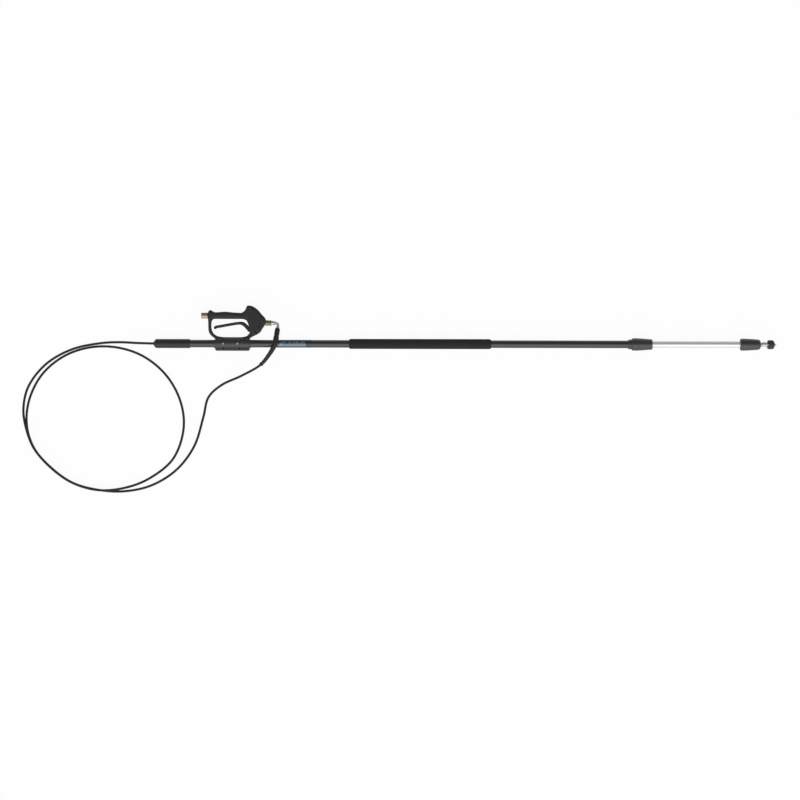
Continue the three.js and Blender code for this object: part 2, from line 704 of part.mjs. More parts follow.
// x from the clamp's rear end, y from the pole's axis, z from the gun's middle plane.
const gapLeft = GUARD_POST - GUARD_REACH;
const gapRight = gapLeft + HAND_GAP_LENGTH;
const barBottom = seatRadius;
const barTop = barBottom + GUARD_BAR;
const handleBottom = barTop + HAND_GAP_HEIGHT;
const handleTop = handleBottom + HANDLE_HEIGHT;
const bossLeft = -GUARD_REACH - REAR_BOSS_OVERHANG;
const noseX = gapRight + HEAD_REACH;
const headTop = handleTop + HEAD_RISE;
const headRear = noseX - HEAD_LENGTH;
const headHalf = axisHeight; // the head's flat side lies on the floor with the collar
const inletY = handleTop - INLET_DROP;
const outletY = handleBottom - OUTLET_DROP;
const pivotX = noseX - PIVOT_SET_BACK;
const pivotY = handleBottom - PIVOT_DROP;
const valveX = pivotX - VALVE_SET_BACK;
const valveLeft = valveX - VALVE_WIDTH / 2;
const valveRight = valveX + VALVE_WIDTH / 2;
const valveTop = inletY + VALVE_ROOF;
const valveBottom = outletY - VALVE_FLOOR;

// ---------------------------------------------------------------- clamp

const humpRadius = seatRadius + BRACKET_WALL;
const upperScrewY = barBottom + GUARD_BAR / 2;
const lowerScrewY = -BRACKET_DROP + LOWER_SCREW_INSET;
const lipTop = GUARD_THICKNESS / 2 + FIT + BRACKET_LIP;
const nearEdge = upperScrewY + CLAMP_SCREW_HEAD / 2 - FIT;
const farEdge = upperScrewY + CLAMP_NUT / 2 + FIT + BRACKET_NUT_WALL;
const nutFloor = -headHalf + NUT_RECESS;
const reach = 2 * COLLAR_DIAMETER; // longer than any cut needs to be

// One cross-section of the clamp, drawn with the pole's Y to the right and Z up, cut to length.
const clampBar = (section) =>
  new THREE.ExtrudeGeometry(section, { depth: BRACKET_LENGTH, bevelEnabled: false, curveSegments: 8 })
    .rotateX(Math.PI / 2)
    .rotateZ(Math.PI / 2);

// The thin collars that run on past both ends of the clamp, as one half of a ring.
function clampNecks(side) {
  const outer = seatRadius + BRACKET_NECK_WALL;
  const whole = [-BRACKET_NECK, BRACKET_LENGTH - LAP].map((start) =>
    ring("x", start, start + BRACKET_NECK + LAP, outer, seatRadius),
  );
  const [low, high] = side > 0 ? [-reach, FIT / 2] : [-FIT / 2, reach];
  const end = BRACKET_LENGTH + reach;
  return cut(join(...whole), block([-reach, -reach, low], [end, reach, high]));
}

// What both halves lose: the tube's bore, the guard bar's slot, the screw holes, the clipped corners.
function clampCuts() {
  const start = -BRACKET_NECK - LAP;
  const end = BRACKET_LENGTH + BRACKET_NECK + LAP;
  const slotHalf = GUARD_THICKNESS / 2 + FIT;
  const holeRadius = CLAMP_SCREW_DIAMETER / 2 + FIT;
  const hole = (x, y) => bar("z", -reach, reach, holeRadius).translate(x, y, 0);
  const corner = (x) =>
    new THREE.BoxGeometry(BRACKET_CORNER, BRACKET_CORNER, reach)
      .rotateZ(Math.PI / 4)
      .translate(x, -BRACKET_DROP, 0);
  return [
    bar("x", start, end, seatRadius, TUBE_SIDES),
    block([start, seatRadius / 2, -slotHalf], [end, barTop + reach, slotHalf]),
    ...UPPER_SCREW_PLACES.map((x) => hole(x, upperScrewY)),
    ...LOWER_SCREW_PLACES.map((x) => hole(x, lowerScrewY)),
    corner(0),
    corner(BRACKET_LENGTH),
  ];
}

function bracketNear() {
  const section = new THREE.Shape();
  section.moveTo(-BRACKET_DROP, FIT / 2);
  section.lineTo(-BRACKET_DROP, BRACKET_FLANGE - BRACKET_EDGE);
  section.lineTo(BRACKET_EDGE - BRACKET_DROP, BRACKET_FLANGE);
  const humpStart = Math.PI - Math.asin(BRACKET_FLANGE / humpRadius);
  section.absarc(0, 0, humpRadius, humpStart, Math.asin(lipTop / humpRadius), true);
  section.lineTo(nearEdge - BRACKET_EDGE, lipTop);
  section.lineTo(nearEdge, lipTop - BRACKET_EDGE);
  section.lineTo(nearEdge, FIT / 2);
  const pockets = POCKET_PLACES.map((x) =>
    block(
      [x - POCKET_WIDTH / 2, POCKET_RIM - BRACKET_DROP, BRACKET_FLANGE - POCKET_DEPTH],
      [x + POCKET_WIDTH / 2, LAP - humpRadius, reach],
    ),
  );
  const heads = LOWER_SCREW_PLACES.map((x) =>
    bar("z", BRACKET_FLANGE, reach, CLAMP_SCREW_HEAD / 2 + FIT).translate(x, lowerScrewY, 0),
  );
  const lockHoles = LOCK_SCREW_PLACES.map((x) =>
    bar("z", 0, reach, LOCK_SCREW_DIAMETER / 2 + FIT).translate(x, 0, 0),
  );
  const blank = join(clampBar(section), clampNecks(1));
  return cut(blank, ...clampCuts(), ...pockets, ...heads, ...lockHoles);
}

// The far half has a flat back that rests on the floor, with pockets for the nuts.
function bracketFar() {
  const edge = BRACKET_BACK_EDGE;
  const outline = [
    [-BRACKET_DROP, -FIT / 2],
    [-BRACKET_DROP, edge - headHalf],
    [edge - BRACKET_DROP, -headHalf],
    [farEdge - edge, -headHalf],
    [farEdge, edge - headHalf],
    [farEdge, -FIT / 2],
  ];
  const pocket = (x, y) =>
    hexBar("z", -reach, nutFloor + CLAMP_NUT_HEIGHT + FIT, CLAMP_NUT + 2 * FIT).translate(x, y, 0);
  const pockets = [
    ...UPPER_SCREW_PLACES.map((x) => pocket(x, upperScrewY)),
    ...LOWER_SCREW_PLACES.map((x) => pocket(x, lowerScrewY)),
  ];
  const blank = join(clampBar(new THREE.Shape(vectors(outline))), clampNecks(-1));
  return cut(blank, ...clampCuts(), ...pockets);
}

// A clamp screw: its head seats on the near half, and its nut lies in a pocket in the far half.
function clampScrew(seat) {
  return join(
    bar("z", nutFloor - CLAMP_SCREW_PROUD, seat + 2 * FIT, CLAMP_SCREW_DIAMETER / 2),
    bar("z", seat + FIT, seat + FIT + CLAMP_SCREW_HEAD_HEIGHT, CLAMP_SCREW_HEAD / 2),
  );
}

function clampNut() {
  const blank = hexBar("z", nutFloor, nutFloor + CLAMP_NUT_HEIGHT, CLAMP_NUT);
  return cut(blank, bar("z", -reach, 0, CLAMP_SCREW_DIAMETER / 2 + FIT));
}

// A grub with a head, through the near half, that bears on the tube.
function lockScrew() {
  const seat = humpRadius + FIT;
  const top = seat + LOCK_SCREW_HEAD_HEIGHT;
  const body = join(
    bar("z", seatRadius, seat + FIT, LOCK_SCREW_DIAMETER / 2),
    bar("z", seat, top, LOCK_SCREW_HEAD / 2),
  );
  return cut(body, hexBar("z", top - LOCK_SCREW_KEY_DEPTH, reach, LOCK_SCREW_KEY));
}

function clamp() {
  const group = new THREE.Group();
  const place = (made, x, y) => {
    made.position.set(x, y, 0);
    group.add(made);
  };
  place(piece("bracket_near", bracketNear(), clampNylon), 0, 0);
  place(piece("bracket_far", bracketFar(), clampNylon), 0, 0);
  const addRow = (row, places, y, seat) =>
    places.forEach((x, i) => {
      place(piece(`clamp_screw_${row}_${i + 1}`, clampScrew(seat), blackSteel), x, y);
      place(piece(`clamp_nut_${row}_${i + 1}`, clampNut(), steel), x, y);
    });
  addRow("upper", UPPER_SCREW_PLACES, upperScrewY, lipTop);
  addRow("lower", LOWER_SCREW_PLACES, lowerScrewY, BRACKET_FLANGE);
  LOCK_SCREW_PLACES.forEach((x, i) => place(piece(`lock_screw_${i + 1}`, lockScrew(), steel), x, 0));
  return group;
}

// ---------------------------------------------------------------- gun shells

// Drawn edges, each from its lower or rear end to its upper or front end or back again.
const headFrontEdge = [
  [gapRight + 19.5, barBottom + 17],
  [gapRight + 38.5, barBottom + 29],
  [noseX - 14, outletY - 21.6],
  [noseX - 4.6, outletY - 7.5],
  [noseX, outletY + 7],
];
const headTopEdge = [
  [noseX - 2, outletY + 16.4],
  [noseX - 16.6, handleTop - 6.8],
  [noseX - 30.8, headTop - 15.4],
  [noseX - 47.6, headTop - 3.5],
  [noseX - 62, headTop],
  [noseX - 72.5, headTop - 4.5],
  [noseX - 80.8, headTop - 20],
];
const handleBackEdge = [
  [headRear, handleTop - 2.4],
  [gapRight - HANDLE_SHOULDER_PLACE, handleTop - 1],
  [gapRight - HANDLE_SWELL_PLACE, handleTop + 2],
  [gapLeft + 14.5, handleTop + 0.3],
];
const rearBossEdge = [
  [gapLeft + 5.5, handleTop + 4],
  [gapLeft - 2.3, handleTop + 8.5],
  [bossLeft + 3.6, handleTop + 4],
  [bossLeft, handleTop - 4.5],
  [bossLeft + 1.1, handleTop - 17],
  [-GUARD_REACH, handleBottom - 12],
];
const headRearEdge = [
  [gapRight - 7, handleBottom - 17.5],
  [gapRight - HEAD_SLOPE / 2, handleBottom - 5.6],
  [gapRight - HEAD_SLOPE, handleBottom],
];

// The whole side view: guard, handle and head in one outline, with the hand gap in it.
function sideOutline() {
  const shape = new THREE.Shape();
  shape.moveTo(4, barBottom);
  shape.lineTo(gapRight - 2, barBottom);
  shape.splineThru(vectors([...headFrontEdge, ...headTopEdge, ...handleBackEdge, ...rearBossEdge]));
  shape.lineTo(-GUARD_REACH, barTop + GAP_CORNER_REAR);
  shape.splineThru(
    vectors([
      [2.4 - GUARD_REACH, barTop + 20],
      [9.4 - GUARD_REACH, barTop + 8],
      [19 - GUARD_REACH, barTop],
    ]),
  );
  const gap = new THREE.Path();
  const corner = GAP_CORNER_REAR;
  gap.moveTo(gapLeft + corner, barTop);
  gap.lineTo(gapRight - GAP_CORNER_FRONT, barTop);
  gap.quadraticCurveTo(gapRight, barTop, gapRight, barTop + GAP_CORNER_FRONT);
  gap.splineThru(vectors([[gapRight, barTop + GAP_CORNER_FRONT + 8], ...headRearEdge]));
  gap.lineTo(gapLeft + GAP_CORNER_TOP, handleBottom);
  gap.quadraticCurveTo(gapLeft, handleBottom, gapLeft, handleBottom - GAP_CORNER_TOP);
  gap.lineTo(gapLeft, barTop + corner);
  gap.splineThru(
    vectors([
      [gapLeft + corner * 0.11, barTop + corner * 0.7],
      [gapLeft + corner * 0.32, barTop + corner * 0.375],
      [gapLeft + corner * 0.64, barTop + corner * 0.09],
    ]),
  );
  shape.holes.push(gap);
  return shape;
}

function handleOutline() {
  const shape = new THREE.Shape();
  shape.moveTo(gapLeft + 9, handleBottom);
  shape.lineTo(gapRight, handleBottom);
  shape.lineTo(gapRight, handleTop - 3);
  shape.lineTo(headRear + 5, handleTop - 3);
  shape.splineThru(vectors([...handleBackEdge, ...rearBossEdge]));
  return shape;
}

function headOutline() {
  const shape = new THREE.Shape();
  shape.moveTo(gapRight, barTop + GAP_CORNER_FRONT);
  shape.lineTo(gapRight + 4, barTop + 6);
  shape.splineThru(vectors([...headFrontEdge, ...headTopEdge]));
  shape.splineThru(
    vectors([
      [headRear + 5, handleTop - 5],
      [headRear + 5, handleTop - 15],
      [headRear + 13, handleBottom - 1],
    ]),
  );
  const [low, middle] = headRearEdge;
  shape.splineThru(vectors([middle, low, [gapRight, barTop + GAP_CORNER_FRONT + 8]]));
  return shape;
}

// Screws that hold the two shells together: place, and the height of the face that each enters.
const housingScrews = {
  rear: [gapLeft - 1.5, handleTop + 0.5, HANDLE_THICKNESS / 2],
  crest: [noseX - 49, headTop - 14, headHalf],
  nose: [noseX - 17, handleBottom + 6, headHalf],
  foot: [gapRight + 21, barBottom + 27.5, headHalf],
};
const screwSeat = (face) => face - HOUSING_SCREW_RECESS;
const screwPoint = (face) => HOUSING_SCREW_STOP - face;

const stubRadius = INLET_STUB_DIAMETER / 2;
const inletHexEnd = bossLeft - FIT;
const inletStubEnd = inletHexEnd + INLET_STUB;
const inletTubeStart = inletStubEnd - INLET_TUBE_GRIP;
const inletTubeEnd = valveLeft + INLET_TUBE_GRIP;
const outletHexStart = noseX - OUTLET_HEX_SINK;
const outletHexRadius = OUTLET_HEX / Math.sqrt(3);
const outletHexEnd = outletHexStart + OUTLET_HEX_LENGTH;
const unionStart = outletHexEnd + FIT;
const unionEnd = unionStart + UNION_LENGTH;
const pivotPinHalf = headHalf - 2;

function gunBody() {
  const handle = handleOutline();
  const head = headOutline();
  const outer = join(
    plate(sideOutline(), GUARD_THICKNESS, GUARD_ROUNDING),
    plate(handle, HANDLE_THICKNESS, HANDLE_ROUNDING),
    plate(head, 2 * headHalf, HEAD_ROUNDING),
  );
  const wall = HOUSING_WALL;
  const hollow = join(
    plate(handle, HANDLE_THICKNESS - 2 * wall, HANDLE_ROUNDING - wall, wall),
    plate(head, 2 * (headHalf - wall), HEAD_ROUNDING - wall, wall),
  );
  const post = (x, y, start, end) => bar("z", start, end, HOUSING_POST_DIAMETER / 2).translate(x, y, 0);
  const screwPosts = Object.values(housingScrews).map(([x, y]) => post(x, y, -headHalf, headHalf));
  const pivotGap = TRIGGER_WIDTH / 2 + RUN_CLEARANCE;
  const pivotPosts = [post(pivotX, pivotY, -headHalf, -pivotGap), post(pivotX, pivotY, pivotGap, headHalf)];
  const valveGap = VALVE_THICKNESS / 2 + FIT;
  const valvePads = [[-headHalf, -valveGap], [valveGap, headHalf]].map(([low, high]) =>
    block(
      [valveLeft + VALVE_PAD_INSET, valveBottom + VALVE_PAD_BOTTOM, low],
      [valveRight - VALVE_PAD_INSET, valveTop - VALVE_PAD_TOP, high],
    ),
  );
  const saddles = SADDLE_PLACES.map((place) =>
    block([gapLeft + place, handleBottom, -headHalf], [gapLeft + place + wall, headTop, headHalf]),
  );
  return cut(outer, cut(hollow, join(...screwPosts, ...pivotPosts, ...valvePads, ...saddles)));
}

// The openings that both shells share.
function gunCuts() {
  const alongX = (start, end, radius, y) => bar("x", start, end, radius).translate(0, y, 0);
  const slotHalf = TRIGGER_WIDTH / 2 + RUN_CLEARANCE;
  const hole = (radius, x, y, start, end) => bar("z", start, end, radius).translate(x, y, 0);
  const screwCuts = Object.values(housingScrews).flatMap(([x, y, face]) => {
    const seat = screwSeat(face);
    return [
      hole(HOUSING_SCREW_HEAD / 2 + FIT, x, y, seat, reach),
      hole(HOUSING_SCREW_DIAMETER / 2 + FIT, x, y, screwPoint(face) - FIT, seat + LAP),
    ];
  });
  return [
    alongX(bossLeft - LAP, inletStubEnd + FIT, stubRadius + FIT, inletY),
    alongX(bossLeft, valveLeft - LAP, INLET_TUBE_DIAMETER / 2 + FIT, inletY),
    alongX(valveRight, noseX + LAP, OUTLET_STUB_DIAMETER / 2 + FIT, outletY),
    alongX(outletHexStart - FIT, noseX + LAP, outletHexRadius + FIT, outletY),
    block(
      [gapRight - TRIGGER_MOUTH_REAR, barTop + TRIGGER_MOUTH_BOTTOM, -slotHalf],
      [gapRight + TRIGGER_MOUTH_FRONT, handleBottom - TRIGGER_MOUTH_TOP, slotHalf],
    ),
    hole(PIVOT_PIN_DIAMETER / 2 + FIT, pivotX, pivotY, -pivotPinHalf - FIT, reach),
    ...UPPER_SCREW_PLACES.map((x) => hole(CLAMP_SCREW_DIAMETER / 2 + FIT, x, upperScrewY, -reach, reach)),
    ...screwCuts,
  ];
}

function gunShells() {
  const whole = cut(gunBody(), ...gunCuts());
  const half = (low, high) => block([-reach, -reach, low], [5 * reach, 5 * reach, high]);
  return [
    piece("gun_shell_near", cut(whole, half(-reach, FIT / 2)), gunNylon),
    piece("gun_shell_far", cut(whole, half(-FIT / 2, reach)), gunNylon),
  ];
}

function housingScrew(face) {
  const seat = screwSeat(face);
  const top = seat + FIT + HOUSING_SCREW_HEAD_HEIGHT;
  const screw = join(
    bar("z", screwPoint(face), seat + 2 * FIT, HOUSING_SCREW_DIAMETER / 2),
    bar("z", seat + FIT, top, HOUSING_SCREW_HEAD / 2),
  );
  return cut(screw, hexBar("z", top - HOUSING_SCREW_HEAD_HEIGHT / 2, reach, HOUSING_SCREW_KEY));
}

// ---------------------------------------------------------------- water path in the gun

// Female inlet behind the handle, with a stub that holds the tube inside the handle.
function inletFitting() {
  const start = inletHexEnd - INLET_LENGTH;
  return cut(
    join(
      hexBar("x", start, inletHexEnd, INLET_HEX),
      bar("x", inletHexEnd - LAP, inletStubEnd, stubRadius),
    ),
    bar("x", start - LAP, start + INLET_SOCKET_DEPTH, INLET_SOCKET_DIAMETER / 2, TUBE_SIDES),
    bar("x", start, inletStubEnd, INLET_TUBE_BORE / 2),
    bar("x", inletTubeStart - FIT, inletStubEnd + LAP, INLET_TUBE_DIAMETER / 2 + FIT),
  ).translate([0, inletY, 0]);
}

const seatY = outletY + SEAT_RISE;
const chamberRadius = VALVE_CHAMBER / 2;
const glandRadius = VALVE_GALLERY / 2 + GLAND_STEP;
const glandTop = valveBottom + GLAND_SPIGOT;
const sealStart = glandTop + FIT;
const ballRadius = BALL_DIAMETER / 2;
const ballY = seatY + SEAT_THICKNESS + Math.sqrt((ballRadius + FIT) ** 2 - (SEAT_BORE / 2) ** 2);
const plugBottom = valveTop - CAP_PLUG_LENGTH;
const outletBossEnd = valveRight + OUTLET_BOSS_LENGTH;
const outletStubStart = valveRight - OUTLET_STUB_SINK;

// A block with the ball's chamber across it, the inlet above the seat and the outlet below it.
function valveBody() {
  const half = VALVE_THICKNESS / 2;
  const upright = (start, end, radius) => bar("y", start, end, radius).translate(valveX, 0, 0);
  const across = (start, end, radius, y) => bar("x", start, end, radius).translate(0, y, 0);
  const blank = join(
    block([valveLeft, valveBottom, -half], [valveRight, valveTop, half]),
    across(valveRight - LAP, outletBossEnd, OUTLET_BOSS_DIAMETER / 2, outletY),
  );
  return cut(
    blank,
    upright(valveBottom - LAP, sealStart + SEAL_THICKNESS + FIT, glandRadius),
    upright(valveBottom, seatY, VALVE_GALLERY / 2),
    upright(seatY - FIT, valveTop + LAP, chamberRadius),
    across(valveX, outletStubStart, OUTLET_BORE / 2, outletY),
    across(outletStubStart - FIT, outletBossEnd + LAP, OUTLET_STUB_DIAMETER / 2 + FIT, outletY),
    across(valveLeft, valveX, INLET_TUBE_BORE / 2, inletY),
    across(valveLeft - LAP, inletTubeEnd + FIT, INLET_TUBE_DIAMETER / 2 + FIT, inletY),
  );
}

function valveCap() {
  const base = valveTop + FIT;
  const plug = bar("y", plugBottom, base + LAP, chamberRadius - FIT);
  return join(hexBar("y", base, base + CAP_HEIGHT, CAP_HEX), plug);
}

function rodGland() {
  const top = valveBottom - FIT;
  const blank = join(
    hexBar("y", top - GLAND_HEIGHT, top, GLAND_HEX),
    bar("y", top - LAP, glandTop, glandRadius - FIT),
  );
  return cut(blank, bar("y", 0, valveTop, ROD_DIAMETER / 2 + FIT));
}

const padTop = pivotY - TRIGGER_PAD_DROP;
const rodBottom = padTop + FIT;
const rodTop = ballY - ballRadius - FIT;

// The rod between trigger and ball: domed where the trigger pushes it, thin where it enters the seat.
function pushRod() {
  const radius = ROD_DIAMETER / 2;
  const tip = ROD_TIP_DIAMETER / 2;
  return turned("y", [
    [rodBottom, 0],
    [rodBottom, radius / 2],
    [rodBottom + radius / 2, radius],
    [seatY - 2 * ROD_SHOULDER, radius],
    [seatY - ROD_SHOULDER, tip],
    [rodTop, tip],
    [rodTop, 0],
  ], SMALL_SIDES);
}

class Coil extends THREE.Curve {
  constructor(start, end, radius, turns) {
    super();
    Object.assign(this, { start, end, radius, turns });
  }

  getPoint(t, target = new THREE.Vector3()) {
    const angle = t * this.turns * 2 * Math.PI;
    const y = this.start + (this.end - this.start) * t;
    return target.set(this.radius * Math.cos(angle), y, this.radius * Math.sin(angle));
  }
}

function disc(radius, sides) {
  const shape = new THREE.Shape();
  for (let i = 0; i < sides; i++) {
    const angle = (i * 2 * Math.PI) / sides;
    const point = [radius * Math.cos(angle), radius * Math.sin(angle)];
    if (i === 0) shape.moveTo(...point);
    else shape.lineTo(...point);
  }
  return shape;
}

const sweep = (section, path, steps) =>
  new THREE.ExtrudeGeometry(section, { steps, bevelEnabled: false, extrudePath: path });

function valveSpring() {
  const wire = SPRING_WIRE / 2;
  const path = new Coil(
    ballY + ballRadius + FIT + wire,
    plugBottom - FIT - wire,
    SPRING_DIAMETER / 2 - wire,
    SPRING_TURNS,
  );
  return sweep(disc(wire, SPRING_SIDES), path, SPRING_TURNS * SPRING_STEPS);
}

// Brass nipple in front of the head.
function outletFitting() {
  return cut(
    join(
      bar("x", outletStubStart, outletHexStart + LAP, OUTLET_STUB_DIAMETER / 2),
      hexBar("x", outletHexStart, outletHexEnd, OUTLET_HEX),
    ),
    bar("x", outletStubStart - LAP, outletHexEnd, OUTLET_BORE / 2),
    bar("x", outletHexEnd - UNION_NIPPLE - FIT, outletHexEnd + LAP, nippleRadius + FIT),
  ).translate([0, outletY, 0]);
}

// Nickel union nut, which joins the brass nipple to the elbow.
function unionNut() {
  const middle = unionStart + UNION_HEX_LENGTH;
  return cut(
    join(
      bar("x", unionStart - UNION_NIPPLE, unionStart + LAP, nippleRadius),
      hexBar("x", unionStart, middle, UNION_HEX),
      bar("x", middle - LAP, unionEnd, UNION_HEX / 2),
    ),
    bar("x", unionStart - UNION_NIPPLE - LAP, unionEnd, WATER_BORE / 2),
    bar("x", unionEnd - UNION_NIPPLE - FIT, unionEnd + LAP, nippleRadius + FIT),
  ).translate([0, outletY, 0]);
}

// ---------------------------------------------------------------- trigger and latch

const latchPinX = gapLeft + LATCH_PIN_PLACE;
const latchPinY = pivotY + LATCH_PIN_RISE;
const latchTilt = THREE.MathUtils.degToRad(LATCH_TILT);
const latchSlotHalf = LATCH_WIDTH / 2 + RUN_CLEARANCE;

// A bent strip from its free tip, under the handle and into the head, to the boss on its pivot.
function trigger() {
  const line = [
    [gapLeft + 12, pivotY - 6.5],
    [gapLeft + 17.5, pivotY - 0.5],
    [gapLeft + 35.5, pivotY + 2.5],
    [gapLeft + 64.5, pivotY + 8],
    [gapRight - 47.5, pivotY + 14],
    [gapRight - 29.5, pivotY + 16],
    [gapRight - 17.5, pivotY + 10.5],
    [gapRight - 8.5, pivotY - 2.5],
    [gapRight + 0.5, pivotY - 13.5],
    [valveX, padTop - TRIGGER_STRIP * 0.65],
    [pivotX, pivotY],
  ].map(([x, y]) => new THREE.Vector3(x, y, 0));
  const [across, thick, edge] = [TRIGGER_WIDTH / 2, TRIGGER_STRIP / 2, TRIGGER_EDGE];
  const section = new THREE.Shape(
    vectors([
      [across, thick - edge],
      [across - edge, thick],
      [edge - across, thick],
      [-across, thick - edge],
      [-across, edge - thick],
      [edge - across, -thick],
      [across - edge, -thick],
      [across, edge - thick],
    ]),
  );
  const path = new THREE.CatmullRomCurve3(line, false, "centripetal");
  const strip = sweep(section, path, TRIGGER_STEPS);
  const boss = bar("z", -across, across, PIVOT_BOSS_DIAMETER / 2).translate(pivotX, pivotY, 0);
  const pad = block(
    [valveX - TRIGGER_PAD_LENGTH / 2, padTop - TRIGGER_STRIP, -TRIGGER_PAD_LENGTH / 2],
    [valveX + TRIGGER_PAD_LENGTH / 2, padTop, TRIGGER_PAD_LENGTH / 2],
  );
  const slotEnd = latchPinX + (LATCH_LENGTH + LATCH_HEIGHT) * Math.cos(latchTilt);
  const slot = block([gapLeft, pivotY - reach, -latchSlotHalf], [slotEnd, handleBottom, latchSlotHalf]);
  return cut(
    join(strip, boss, pad),
    slot,
    bar("z", -reach, reach, PIVOT_PIN_DIAMETER / 2 + FIT).translate(pivotX, pivotY, 0),
    bar("z", -reach, reach, LATCH_PIN_DIAMETER / 2 + FIT).translate(latchPinX, latchPinY, 0),
  );
}

// A flap folded into the trigger's slot. Turned out, it stands against the handle.
function safetyLatch() {
  const half = LATCH_WIDTH / 2;
  const height = LATCH_HEIGHT / 2;
  const arm = block([0, -height, -half], [LATCH_LENGTH, height, half]);
  const hook = block([-LATCH_HOOK, -height, -half], [0, height, half]).rotateZ(LATCH_HOOK_BEND);
  const eye = bar("z", -half, half, LATCH_EYE_DIAMETER / 2);
  const blank = join(arm.rotateZ(latchTilt), hook.rotateZ(latchTilt), eye);
  const pinHole = bar("z", -reach, reach, LATCH_PIN_DIAMETER / 2 + FIT);
  return cut(blank, pinHole).translate([latchPinX, latchPinY, 0]);
}

// ---------------------------------------------------------------- elbow and hose end

const lean = THREE.MathUtils.degToRad(ELBOW_LEAN);
const rise = THREE.MathUtils.degToRad(ELBOW_TILT);
const hoseAway = new THREE.Vector3(
  -Math.sin(lean) * Math.cos(rise),
  -Math.cos(lean) * Math.cos(rise),
  Math.sin(rise),
);
const elbowCorner = new THREE.Vector3(unionEnd + FIT + ELBOW_REACH, outletY, 0);
const elbowEnd = elbowCorner.clone().addScaledVector(hoseAway, ELBOW_LEG);
const ferruleStart = elbowEnd.clone().addScaledVector(hoseAway, FIT);
const ferruleEnd = ferruleStart.clone().addScaledVector(hoseAway, FERRULE_LENGTH);

// A turned piece whose own x axis is laid from a point along the hose's first direction.
function alongHose(geometry, from) {
  const side = new THREE.Vector3(0, 0, 1).cross(hoseAway).normalize();
  const top = hoseAway.clone().cross(side);
  const turn = new THREE.Matrix4().makeBasis(hoseAway, side, top).setPosition(from);
  return geometry.applyMatrix4(turn);
}

function elbow() {
  const start = new THREE.Vector3(unionEnd + FIT, outletY, 0);
  const bendStart = elbowCorner.clone().add(new THREE.Vector3(-ELBOW_BEND, 0, 0));
  const bendEnd = elbowCorner.clone().addScaledVector(hoseAway, ELBOW_BEND);
  const nippleEnd = ferruleStart.clone().addScaledVector(hoseAway, ELBOW_NIPPLE);
  const path = new THREE.CurvePath();
  path.add(new THREE.LineCurve3(start, bendStart));
  path.add(new THREE.QuadraticBezierCurve3(bendStart, elbowCorner, bendEnd));
  path.add(new THREE.LineCurve3(bendEnd, elbowEnd));
  const spigot = bar("x", start.x - UNION_NIPPLE, start.x + LAP, nippleRadius);
  const nipple = alongHose(bar("x", -LAP, ELBOW_NIPPLE, nippleRadius), elbowEnd);
  const body = join(
    sweep(disc(ELBOW_DIAMETER / 2, SMALL_SIDES), path, ELBOW_STEPS),
    spigot.translate(0, outletY, 0),
    nipple,
  );
  const before = start.clone().add(new THREE.Vector3(-UNION_NIPPLE - LAP, 0, 0));
  const bore = new THREE.CurvePath();
  bore.add(new THREE.LineCurve3(before, bendStart));
  bore.add(new THREE.QuadraticBezierCurve3(bendStart, elbowCorner, bendEnd));
  bore.add(new THREE.LineCurve3(bendEnd, nippleEnd));
  return cut(body, sweep(disc(WATER_BORE / 2, HOSE_SIDES), bore, ELBOW_STEPS));
}

// Crimped on the hose; the elbow's nipple enters it from the gun's side.
function hoseFerrule() {
  return alongHose(
    turned("x", [
      [0, nippleRadius + FIT],
      [0, FERRULE_DIAMETER / 2],
      [FERRULE_LENGTH, FERRULE_DIAMETER / 2],
      [FERRULE_LENGTH, FERRULE_DIAMETER / 2 - FERRULE_WALL],
      [ELBOW_NIPPLE + FIT, FERRULE_DIAMETER / 2 - FERRULE_WALL],
      [ELBOW_NIPPLE + FIT, nippleRadius + FIT],
    ]),
    ferruleStart,
  );
}

// Rubber sleeve over the ferrule, closed to the elbow on its gun side.
function ferruleCover() {
  const radius = COVER_DIAMETER / 2;
  const bore = FERRULE_DIAMETER / 2 + FIT;
  return alongHose(
    turned("x", [
      [COVER_SET_BACK, bore],
      ...profileFrom(COVER_SHOULDER, COVER_SET_BACK, radius),
      [FERRULE_LENGTH, radius],
      [FERRULE_LENGTH, bore],
    ]),
    ferruleStart,
  );
}

// ---------------------------------------------------------------- gun

